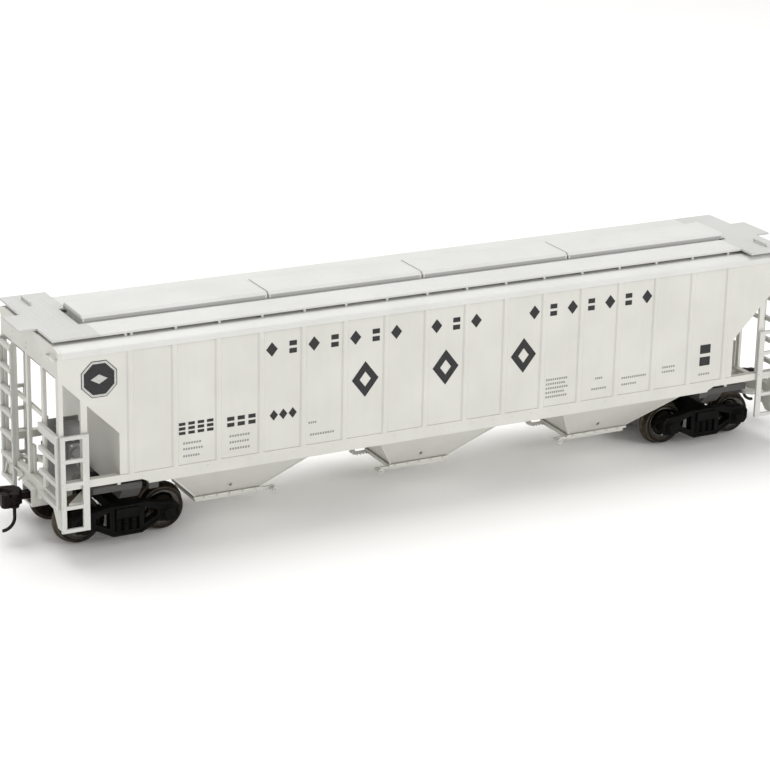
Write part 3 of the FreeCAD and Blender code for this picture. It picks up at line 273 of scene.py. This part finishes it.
# painted shade: the hatch covers' sides below their shoulder are darker grey, standing for their shade
hatch_paint_and_side_shade = painted("hatch_paint_and_side_shade", *ROOF_TONES, **ROOF_ROUGH_AND_CORNER_SHADE, shade=("Z", 52.5, 52.75, HATCH_SIDE_SHADE))
walk_paint = painted("walk_paint", (0.585, 0.585, 0.565), (0.55, 0.55, 0.53), rough=0.48, corner_shade=0.12)
detail_paint = painted("detail_paint", (0.62, 0.62, 0.59), (0.57, 0.57, 0.54), rough=0.45, worn=0.2)
# painted shade: a dark grey standing for the shade on the body-grey brake gear in the end cage; the bays'
# lugs share it
shaded_brake_paint = painted("shaded_brake_paint", (0.24, 0.24, 0.23), (0.17, 0.17, 0.165), rough=0.5, worn=0.25)
truck_plastic = moulded("truck_plastic", (0.003, 0.0028, 0.0026), (0.009, 0.0085, 0.008), 0.62, 0.09)
coupler_plastic = moulded("coupler_plastic", (0.006, 0.0028, 0.0026), (0.014, 0.0075, 0.007), 0.5, 0.14)
axle_steel = metal("axle_steel", (0.42, 0.41, 0.39), (0.2, 0.19, 0.17), 0.35, stretch=(1, 6, 1))
pin_wire = metal("pin_wire", (0.03, 0.027, 0.024), (0.012, 0.011, 0.01), 0.4)
screw_steel = metal("screw_steel", (0.5, 0.49, 0.46), (0.25, 0.24, 0.22), 0.32)
ballast_steel = metal("ballast_steel", (0.3, 0.29, 0.27), (0.14, 0.11, 0.08), 0.5)
rim_metal = metal("rim_metal", (0.085, 0.08, 0.07), (0.05, 0.045, 0.04), 0.16)
wheel_metals = [wheel_metal_at(f"wheel_metal_{index + 1}", axle_line(index)) for index in range(4)]
black_print = printed("black_print", (0.008, 0.008, 0.009))
grey_print = printed("grey_print", (0.24, 0.24, 0.235))
pale_print = printed("pale_print", (0.46, 0.46, 0.44))

MATERIAL_OF_NODE = {
    body_paint: ("right_side_sheet", "left_side_sheet", "end_frame", "slope_sheet", "end_sill",
                 "draft_box", "draft_covers", "hopper_bay", "outlet_gate"),
    chassis_paint_and_shade: ("underframe",),
    sill_paint_and_shade: ("side_sills",),
    roof_paint: ("roof_panel", "right_running_board", "left_running_board", "board_brackets"),
    hatch_paint_and_side_shade: ("hatch_cover",),
    walk_paint: ("end_platform",),
    detail_paint: ("side_ladders", "tall_end_ladders", "low_end_ladders", "grab_irons", "brake_pipes",
                   "brake_stand", "brake_wheel"),
    shaded_brake_paint: ("brake_cylinder", "control_valve", "air_reservoir", "brake_bracket"),
    truck_plastic: ("truck_frame",),
    coupler_plastic: ("coupler", "knuckle"),
    axle_steel: ("axle",),
    pin_wire: ("trip_pin",),
    screw_steel: ("truck_screws", "cover_screws"),
    ballast_steel: ("weight_plate",),
    **{material: (f"wheels_{index + 1}",) for index, material in enumerate(wheel_metals)},
}

# ---------------------------------------------------------------- CAD nodes


def ease(made, material, edge):
    """Gives an object its material and eases its edges, as moulded ones are."""
    made.data.materials.clear()
    made.data.materials.append(material)
    bevel = made.modifiers.new("bevel", "BEVEL")
    bevel.width = edge * MM
    bevel.segments = 2
    bevel.limit_method = "ANGLE"
    bevel.angle_limit = math.radians(32)
    bevel.use_clamp_overlap = True
    smooth = made.modifiers.new("smooth", "WEIGHTED_NORMAL")
    smooth.weight = 100
    smooth.keep_sharp = False


def finish_cad(made, material):
    """Joins a CAD node's facets into whole faces, then finishes it."""
    weld = made.modifiers.new("weld", "WELD")
    weld.merge_threshold = 0.001 * MM
    flat = made.modifiers.new("flat", "DECIMATE")
    flat.decimate_type = "DISSOLVE"
    flat.angle_limit = math.radians(1)
    ease(made, material, edge=0.07)


for node in nodes:
    for material, starts in MATERIAL_OF_NODE.items():
        if node.startswith(starts):
            finish_cad(nodes[node], material)

# ---------------------------------------------------------------- building shapes


def around(count, first=0.0):
    """Evenly spaced angles round a full turn."""
    return [first + 2 * math.pi * index / count for index in range(count)]


def spaced(low, high, count):
    """Evenly spaced values, both ends included."""
    return [low + (high - low) * index / (count - 1) for index in range(count)]


class Shape:
    """Closed shells gathered into one mesh, in millimetres."""

    def __init__(self):
        self.points = []
        self.faces = []

    def shell(self, points, faces):
        first = len(self.points)
        self.points += [Vector(point) for point in points]
        self.faces += [tuple(first + index for index in face) for face in faces]

    def loft(self, rings, closed=False):
        """A skin over rings of equal length; its ends are capped unless it closes on itself."""
        count, size = len(rings), len(rings[0])
        points = [point for ring in rings for point in ring]
        faces = []
        for row in range(count if closed else count - 1):
            here, after = row * size, (row + 1) % count * size
            for index in range(size):
                beside = (index + 1) % size
                faces.append((here + index, here + beside, after + beside, after + index))
        if not closed:
            faces.append(tuple(reversed(range(size))))
            faces.append(tuple(range((count - 1) * size, count * size)))
        self.shell(points, faces)

    def prism(self, outline, axis, low, high):
        """An outline in the other two axes pushed along an axis."""
        place = {"x": lambda u, v, level: (level, u, v), "y": lambda u, v, level: (u, level, v),
                 "z": lambda u, v, level: (u, v, level)}[axis]
        self.loft([[place(u, v, level) for u, v in outline] for level in (low, high)])

    def block(self, x, y, z):
        self.prism([(x[0], y[0]), (x[1], y[0]), (x[1], y[1]), (x[0], y[1])], "z", z[0], z[1])

    def tube(self, path, radius, sides=10):
        """A round bar along a path of points."""
        path = [Vector(point) for point in path]
        last = len(path) - 1
        rings = []
        normal = (path[1] - path[0]).normalized().orthogonal()
        for index, point in enumerate(path):
            ahead = (path[min(index + 1, last)] - path[max(index - 1, 0)]).normalized()
            normal = (normal - ahead * normal.dot(ahead)).normalized()
            across = ahead.cross(normal)
            rings.append([point + radius * (math.cos(turn) * normal + math.sin(turn) * across)
                          for turn in around(sides)])
        self.loft(rings)

    def turned(self, profile, start, direction, sides):
        """A solid of revolution from (distance, radius) pairs along a direction."""
        ahead = Vector(direction).normalized()
        normal = ahead.orthogonal().normalized()
        across = ahead.cross(normal)
        spokes = [math.cos(turn) * normal + math.sin(turn) * across for turn in around(sides)]
        self.loft([[Vector(start) + ahead * reach + radius * spoke for spoke in spokes]
                   for reach, radius in profile])

    def rivet(self, place, direction, radius, high=None):
        """A domed head sunk a little into what it holds."""
        sunk = 0.15
        high = high or radius * 0.55
        dome = [(high * math.sin(turn), radius * math.cos(turn)) for turn in (0.0, 0.5, 1.0, 1.4)]
        self.turned([(-sunk, radius)] + dome, place, direction, 12)

    def bolt(self, place, direction, radius, high):
        """A six-sided head on a washer."""
        washer = [(-0.1, radius * 1.35), (0.1, radius * 1.35), (0.12, radius * 1.25)]
        self.turned(washer, place, direction, 18)
        self.turned([(0.05, radius), (high * 0.8, radius), (high, radius * 0.8)], place, direction, 6)

    def copy(self, scale):
        """Adds a copy of all so far, scaled along each axis; a mirror image keeps its faces outward."""
        flipped = scale[0] * scale[1] * scale[2] < 0
        faces = [tuple(reversed(face)) if flipped else face for face in self.faces]
        self.shell([point * Vector(scale) for point in self.points], faces)

    def half_turn(self):
        """Repeats the shape at the other end and side of the car."""
        self.copy((-1, -1, 1))

    def mirror_side(self):
        self.copy((1, -1, 1))

    def make(self, name, material, body, slot, edge=0.04):
        mesh = bpy.data.meshes.new(name)
        mesh.from_pydata([point * MM for point in self.points], [], self.faces)
        mesh.shade_smooth()
        made = bpy.data.objects.new(name, mesh)
        bpy.context.scene.collection.objects.link(made)
        ease(made, material, edge)
        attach(made, body)


def ribbon(points, width):
    """The outline of a strip of a given width whose middle line runs through some points, mitred."""
    lefts, rights = [], []
    points = [Vector(point) for point in points]
    last = len(points) - 1
    for index, point in enumerate(points):
        before, after = points[max(index - 1, 0)], points[min(index + 1, last)]
        incoming = (point - before).normalized() if index else (after - point).normalized()
        leaving = (after - point).normalized() if index < last else incoming
        mean = (incoming + leaving).normalized()
        side = Vector((-mean.y, mean.x)) * width / 2 / mean.dot(incoming)
        lefts.append(tuple(point + side))
        rights.append(tuple(point - side))
    return rights + lefts[::-1]


# ---------------------------------------------------------------- printed shapes on the sides

INK = 0.04
SUNK_INK = 0.02


def print_on_side(shape, outline, layer):
    """A flat outline printed on the right side; a second layer lies on the first."""
    shape.prism(outline, "y", -SIDE - (layer - 1) * INK + SUNK_INK, -SIDE - layer * INK)


def mark(shape, x, z, wide, high):
    """A printed rectangle."""
    left, right, bottom, top = x - wide / 2, x + wide / 2, z - high / 2, z + high / 2
    print_on_side(shape, [(left, bottom), (right, bottom), (right, top), (left, top)], 1)


def lozenge(x, z, wide, high):
    return [(x - wide / 2, z), (x, z - high / 2), (x + wide / 2, z), (x, z + high / 2)]


def shrunk(outline, share):
    """A smaller copy of an outline round the same middle."""
    mean_x = sum(x for x, z in outline) / len(outline)
    mean_z = sum(z for x, z in outline) / len(outline)
    return [(mean_x + (x - mean_x) * share, mean_z + (z - mean_z) * share) for x, z in outline]


def print_ring(shape, outline, share, layer):
    """A printed ring: an outline with a smaller copy of itself left open in its middle."""
    inner = shrunk(outline, share)
    for index in range(len(outline)):
        before = index - 1
        print_on_side(shape, [inner[before], outline[before], outline[index], inner[index]], layer)


def bars(shape, x, z, wide, high, count):
    """Short bars one over another."""
    gap = 0.35
    step = high / (count - gap)
    for index in range(count):
        mark(shape, x, z - high / 2 + step * (index + (1 - gap) / 2), wide, step * (1 - gap))


def row(shape, left, z, wide):
    """A line of small cells, as a line of print looks from far off."""
    cell, filled, high = 0.62, 0.62, 0.5
    count = max(2, round(wide / cell))
    for index in range(count):
        mark(shape, left + (index + 0.5) * wide / count, z, wide / count * filled, high)


def side_marks():
    """Plain shapes where such a car has its owner's name, number and data; none is a letter or a figure."""
    black, grey, pale = Shape(), Shape(), Shape()
    name_words, name_high = ((-17, 7), (-1, 3), (9, 7)), 43.8
    for first, count in name_words:
        for step in range(count):
            x = (first + 2 * step) * RIB_PITCH / 4
            if step % 2:
                bars(black, x, name_high, 1.9, 3.0, 2)
            else:
                print_on_side(black, lozenge(x, name_high, 2.9, 3.5), 1)
    for panel in (-2, 0, 2):
        print_ring(black, lozenge(panel * RIB_PITCH, 33.3, 7.0, 8.8), 0.42, 1)
    for x in (-67.6, -65.3, -63.0, -60.7):
        bars(black, x, 27.9, 1.6, 2.9, 3)
    for x in (-55.6, -53.0, -50.3):
        bars(black, x, 27.8, 1.8, 2.4, 2)
    for x in (-44.8, -42.4, -40.0):
        print_on_side(black, lozenge(x, 27.8, 2.1, 2.6), 1)
    for z in (27.8, 24.6):
        mark(black, 74.3, z, 3.1, 2.3)
    data_rows = {-67.5: ((24.3, 4.6), (22.9, 5.0), (21.2, 4.2)),
                 -56.0: ((24.3, 5.2), (22.8, 5.0), (21.2, 5.2)),
                 -36.0: ((24.6, 2.2),), -35.6: ((21.6, 6.4),), 72.6: ((21.2, 3.4),),
                 27.9: ((26.0, 6.2), (24.9, 5.6), (23.8, 6.4), (22.7, 5.4), (21.6, 6.2)),
                 42.0: ((24.5, 2.2),), 41.0: ((21.8, 4.4),), 49.7: ((23.5, 7.3), (21.8, 4.5)),
                 61.5: ((24.6, 3.9), (23.4, 3.9))}
    for left, rows in data_rows.items():
        for z, wide in rows:
            row(grey, left, z, wide)
    emblem(black, pale)
    for shape, name, material in ((black, "black_marks", black_print), (grey, "grey_marks", grey_print),
                                  (pale, "pale_marks", pale_print)):
        shape.half_turn()
        shape.make(name, material, "car_body", "print_ink", edge=0.005)


def emblem(black, pale):
    """A dark eight-sided field with a pale ring and a pale lozenge in it, high at the left of each side."""
    x, z, radius = -87.35, 42.6, 4.6
    field = [(x + radius * math.cos(turn), z + radius * math.sin(turn)) for turn in around(8, math.pi / 8)]
    print_on_side(black, field, 1)
    print_ring(pale, shrunk(field, 0.96), 0.88, 2)
    print_on_side(pale, lozenge(x, z, 4.0, 2.2), 2)


# ---------------------------------------------------------------- roof fittings


def ridge(middle_line, top):
    """The section of a shallow moulded ridge across a board's top."""
    foot, crest = 0.15, 0.075
    sunk, high = top - 0.05, top + 0.025
    return [(middle_line - foot, sunk), (middle_line + foot, sunk), (middle_line + crest, high),
            (middle_line - crest, high)]


def roof_fittings():
    """Seals at the hatch covers' ends, grip ridges on the boards and bolts on the walkways."""
    seals, ridges, tips, bolts = Shape(), Shape(), Shape(), Shape()
    seam = [(5.97, 51.9), (5.97, 52.72), (5.22, 53.39)]
    seam += [(-y, z) for y, z in reversed(seam)]
    inset, half_seal = 0.35, 0.2
    for index in range(4):
        low, high = box(f"hatch_cover_{index + 1}")
        for x in (low.x + inset, high.x - inset):
            seals.prism(seam, "x", x - half_seal, x + half_seal)
    low, high = box("right_running_board")
    for y in spaced(low.y + 0.5, high.y - 0.5, 9):
        ridges.prism(ridge(y, high.z), "x", low.x + 0.3, high.x - 0.3)
    ridges.mirror_side()
    low, high = box("end_platform_b")
    for x in spaced(low.x + 2.6, high.x - 5.0, 7):
        tips.prism(ridge(x, high.z), "y", low.y + 1.2, 14.6)
    tips.half_turn()
    for x in (86.4, 96.0):
        for y in (-14.4, -7.4, 7.4, 14.4):
            bolts.rivet((x, y, high.z), (0, 0, 1), 0.24, 0.1)
    bolts.half_turn()
    for shape, name, material in ((seals, "hatch_seals", roof_paint), (ridges, "board_ridges", roof_paint),
                                  (tips, "walkway_ridges", walk_paint), (bolts, "roof_bolts", walk_paint)):
        shape.make(name, material, "car_body", "roof_plastic")


# ---------------------------------------------------------------- fittings on the sides and ends


def side_fittings():
    """Rivets on the side ladders and the sills, and a lip under each eave."""
    rivets, strips = Shape(), Shape()
    outward = (0, -1, 0)
    ladder_face = box("side_ladders")[1].y
    for z in spaced(7.95, 29.95, 5):
        for x in (91.07, 96.45):
            rivets.rivet((x, -ladder_face, z), outward, 0.3)
            rivets.rivet((-x, -ladder_face, z), outward, 0.3)
    last_rib = 14.5 * RIB_PITCH / 2
    for x in spaced(-last_rib, last_rib, 30):
        rivets.rivet((x, -SILL_FACE, 18.2), outward, 0.22, 0.1)
    lip_half, lip_in, lip_out = 80.6, -SIDE + 0.1, -SIDE - 0.36
    lip_low, lip_high = 48.3, 48.62
    section = [(lip_in, lip_low), (lip_out, lip_low), (lip_out, lip_high), (lip_in, lip_high)]
    strips.prism(section, "x", -lip_half, lip_half)
    for shape, name in ((rivets, "side_rivets"), (strips, "eave_strips")):
        shape.half_turn()
        shape.make(name, body_paint, "car_body", "body_plastic")


def end_fittings():
    """Bolts on the end posts and end sill, and the coupler's lifting lever in its brackets, at both ends."""
    bolts, levers = Shape(), Shape()
    outward = (1, 0, 0)
    for y in (8.35, -1.75, -11.05):
        for z in (44.9, 46.2, 16.1, 31.2):
            bolts.rivet((END, y, z), outward, 0.26)
    for y in (-16.9, -6.0, 6.0, 16.9):
        bolts.bolt((END, y, 13.4), outward, 0.3, 0.32)
    lever = [(97.5, -17.0, 9.6), (97.5, -16.7, 10.4), (97.45, -15.6, 12.9), (97.45, -15.0, 13.3),
             (97.45, -5.2, 13.4), (97.6, -4.5, 13.2), (98.6, -3.9, 12.9), (98.9, -3.8, 12.6)]
    levers.tube(lever, 0.27)
    for y in (-13.6, -6.4):
        levers.block((96.9, 97.75), (y - 0.3, y + 0.3), (12.95, 13.8))
    for shape, name, material, slot in ((bolts, "end_bolts", body_paint, "body_plastic"),
                                        (levers, "coupler_levers", detail_paint, "detail_plastic")):
        shape.half_turn()
        shape.make(name, material, "car_body", slot)


def brake_fittings():
    """Bolts on the brake cylinder and the control valve in the near end cage."""
    bolts = Shape()
    center = middle("brake_cylinder")
    cover_x, ring = -94.4, 1.6
    for turn in around(6, math.pi / 6):
        place = (cover_x, center.y + ring * math.cos(turn), center.z + ring * math.sin(turn))
        bolts.bolt(place, (-1, 0, 0), 0.22, 0.3)
    low, high = box("control_valve")
    face, inset = -12.6, 0.5
    for x in (low.x + inset, high.x - inset):
        for z in (low.z + inset, high.z - inset):
            bolts.bolt((x, face, z), (0, -1, 0), 0.2, 0.3)
    bolts.make("brake_bolts", detail_paint, "car_body", "detail_plastic")


# ---------------------------------------------------------------- hoppers and gates

OUTER_HIP = (19.3, 8.75)
INNER_HIP = (16.3, 7.65)
HIP_WIDE = (17.0, 6.15)
HIP_HIGH = (16.2, 5.7)
RAIL = 5.95
GATE_SIDE = 6.7
SHAFT_REACH = 11.15
SHAFT_END = 8.2


def bay_fittings():
    """Welded hips, a small lug on each side slope, and the racks and bolts of the gates."""
    hips, lugs, racks = Shape(), Shape(), Shape()
    bays = ((-1, (1,), 1), (0, (-1, 1), -1), (1, (-1,), -1))
    for place, inner_sides, opens in bays:
        center = place * BAY_PITCH
        for side_x in (-1, 1):
            reach = INNER_HIP if side_x in inner_sides else OUTER_HIP
            for side_y in (-1, 1):
                hips.tube([(center + side_x * reach[end], side_y * HIP_WIDE[end], HIP_HIGH[end])
                           for end in (0, 1)], 0.26, 8)
        for side in (-1, 1):
            lug = ((8.9, 8.4), (9.2, 8.1), (9.7, 8.6), (9.7, 9.0), (9.5, 9.3))
            lugs.prism([(side * y, z) for y, z in lug], "x", center - 1.2, center - 0.8)
            for step in range(13):
                x = center + opens * (step * 0.85 + 0.4)
                tooth = [(x - 0.28, 4.65), (x + 0.28, 4.65), (x + 0.12, 4.3), (x - 0.12, 4.3)]
                racks.prism(tooth, "y", side * RAIL - 0.3, side * RAIL + 0.3)
            for x in spaced(center - 6.6, center + 6.6, 5):
                racks.bolt((x, side * GATE_SIDE, 5.4), (0, side, 0), 0.18, 0.28)
            square_end = [(0, 0.3), (0.35, 0.3), (0.35, 0.18), (0.5, 0.18)]
            racks.turned(square_end, (center + opens * SHAFT_REACH, side * SHAFT_END, 4.9), (0, side, 0), 4)
    hips.make("bay_hips", body_paint, "car_body", "body_plastic")
    lugs.make("bay_lugs", shaded_brake_paint, "car_body", "detail_plastic")
    racks.make("gate_racks", detail_paint, "car_body", "detail_plastic")


# ---------------------------------------------------------------- trucks

AXLE_REACH = 10.2
BEARING_FACE = -14.2
FRAME_FACE = (-13.4, -13.8)
SPRING_LINE = -12.4
SHOE_SPAN = (-9.9, -8.2)


def rim_rings(number, axle_x):
    """The bright dished band inside the rim of both wheels of one axle."""
    rings = Shape()
    section = ((4.3, -0.07), (2.9, -0.66), (2.9, -0.85), (4.1, -0.85))
    for face in (-1, 1):
        rings.loft([[(axle_x + radius * math.cos(turn), face * (WHEEL_FACE + deep),
                      AXLE_HIGH + radius * math.sin(turn)) for radius, deep in section[::face]]
                    for turn in around(48)], closed=True)
    rings.make(f"rim_rings_{number}", rim_metal, f"wheelset_{number}", "wheel_metal", edge=0.0)


def spring_coils():
    """Three coil springs side by side under the bolster's end."""
    springs = Shape()
    coil, wire, low, rise = 0.88, 0.17, 3.45, 3.0
    coils, points = 5.5, 66
    for step in (-1.9, 0, 1.9):
        helix = []
        for point in range(points + 1):
            turn = 2 * math.pi * coils * point / points
            helix.append((step + coil * math.cos(turn), SPRING_LINE + coil * math.sin(turn),
                          low + rise * point / points))
        springs.tube(helix, wire, 6)
    return springs


def frame_flanges():
    """The raised upper and lower edges of a side frame, with its bearing caps and their bolts."""
    flanges = Shape()
    outward = (0, -1, 0)
    upper = [(-12.6, 5.4), (-12.6, 7.5), (-11.9, 8.3), (-8.3, 8.6), (-5.0, 9.35)]
    upper += [(-x, z) for x, z in reversed(upper)]
    lower = [(-7.7, 4.75), (-3.4, 2.5), (3.4, 2.5), (7.7, 4.75)]
    for line in (upper, lower):
        flanges.prism(ribbon(line, 0.5), "y", *FRAME_FACE)
    for axle_x in (-AXLE_REACH, AXLE_REACH):
        for turn in around(3, math.pi / 2):
            place = (axle_x + 0.9 * math.cos(turn), BEARING_FACE, AXLE_HIGH + 0.9 * math.sin(turn))
            flanges.bolt(place, outward, 0.24, 0.3)
        cap = [(-0.1, 1.2), (0.12, 1.2), (0.2, 1.05)]
        flanges.turned(cap, (axle_x, BEARING_FACE, AXLE_HIGH), outward, 24)
    return flanges


def brake_shoes():
    """A shoe inboard of each tread, hung on a bar from the bolster."""
    shoes = Shape()
    hanger_y = sum(SHOE_SPAN) / 2
    turns = [math.radians(degree) for degree in (-28, -14, 0, 14, 28)]
    for side in (-1, 1):
        axle_x = side * AXLE_REACH
        inner = [(axle_x - side * 5.42 * math.cos(turn), AXLE_HIGH + 5.42 * math.sin(turn)) for turn in turns]
        outer = [(axle_x - side * 6.1 * math.cos(turn), AXLE_HIGH + 6.1 * math.sin(turn)) for turn in turns]
        shoes.prism(inner + outer[::-1], "y", *SHOE_SPAN)
        foot = (axle_x - side * 5.9, hanger_y, AXLE_HIGH + 0.3)
        shoes.tube([foot, (side * 2.4, hanger_y, 7.4)], 0.35, 8)
    return shoes


def truck_fittings():
    """The rim rings, springs, frame flanges and brake shoes of both trucks, on both of their sides."""
    for end, truck_x, first in (("a", -TRUCK, 1), ("b", TRUCK, 3)):
        rim_rings(first, truck_x - AXLE_REACH)
        rim_rings(first + 1, truck_x + AXLE_REACH)
        for name, build, edge in (("springs", spring_coils, 0.0), ("frame_flanges", frame_flanges, 0.05),
                                  ("brake_shoes", brake_shoes, 0.05)):
            shape = build()
            shape.mirror_side()
            for point in shape.points:
                point.x += truck_x
            shape.make(f"{name}_{end}", truck_plastic, f"truck_{end}", "truck_plastic", edge)


side_marks()
roof_fittings()
side_fittings()
end_fittings()
brake_fittings()
bay_fittings()
truck_fittings()

# ---------------------------------------------------------------- floor, light and camera


def area_lamp(name, place, target, width, depth, power):
    lamp = bpy.data.lights.new(name, "AREA")
    lamp.shape = "RECTANGLE"
    lamp.size = width * MM
    lamp.size_y = depth * MM
    lamp.energy = power
    made = bpy.data.objects.new(name, lamp)
    made.location = Vector(place) * MM
    made.rotation_euler = (Vector(target) - Vector(place)).to_track_quat("-Z", "Y").to_euler()
    bpy.context.scene.collection.objects.link(made)


def studio():
    """A pale paper floor, an even sky and three soft lamps: overhead, far in front and a weak one left."""
    recipe = Recipe("floor_paper")
    recipe.colour(recipe.mix(recipe.noise(60), (0.97, 0.965, 0.955), (0.99, 0.985, 0.98)))
    recipe.settle(Roughness=0.9, Specular_IOR_Level=0.1)
    mesh = bpy.data.meshes.new("floor")
    half = 3000 * MM
    corners = [(-half, -half, 0), (half, -half, 0), (half, half, 0), (-half, half, 0)]
    mesh.from_pydata(corners, [], [(0, 1, 2, 3)])
    mesh.materials.append(recipe.material)
    floor = bpy.data.objects.new("floor", mesh)
    bpy.context.scene.collection.objects.link(floor)

    world = bpy.data.worlds.new("studio")
    bpy.context.scene.world = world
    world.use_nodes = True
    sky = world.node_tree.nodes["Background"]
    sky.inputs["Color"].default_value = (1.0, 0.995, 0.985, 1)
    sky.inputs["Strength"].default_value = 0.53
    area_lamp("overhead", (-60, 330, 850), (0, 0, 0), 800, 700, 6.0)
    area_lamp("front", (860, -1640, 700), (0, 0, 25), 800, 600, 13.5)
    area_lamp("left", (-700, -900, 500), (-60, 0, 25), 700, 500, 1.1)


def photo_camera():
    """A long lens low over the near end, turned a little about its own axis."""
    turn, lift, roll = math.radians(27.75), math.radians(19.1), math.radians(1.18)
    target, distance = Vector((-6.31, 0, 23.81)), 617.2
    level = math.cos(lift)
    back = Vector((-math.sin(turn) * level, -math.cos(turn) * level, math.sin(lift)))
    right = Vector((math.cos(turn), -math.sin(turn), 0))
    up = back.cross(right)
    tilted_right = math.cos(roll) * right + math.sin(roll) * up
    tilted_up = math.cos(roll) * up - math.sin(roll) * right
    pose = Matrix((tilted_right, tilted_up, back)).transposed().to_4x4()
    pose.translation = (target + back * distance) * MM
    camera = bpy.data.objects.new("camera", bpy.data.cameras.new("camera"))
    camera.data.sensor_width = 36
    camera.data.lens = 118.73
    camera.data.clip_start = 50 * MM
    camera.data.clip_end = 20000 * MM
    camera.matrix_world = pose
    bpy.context.scene.collection.objects.link(camera)
    bpy.context.scene.camera = camera


studio()
photo_camera()
bpy.context.scene.view_settings.view_transform = "Standard"
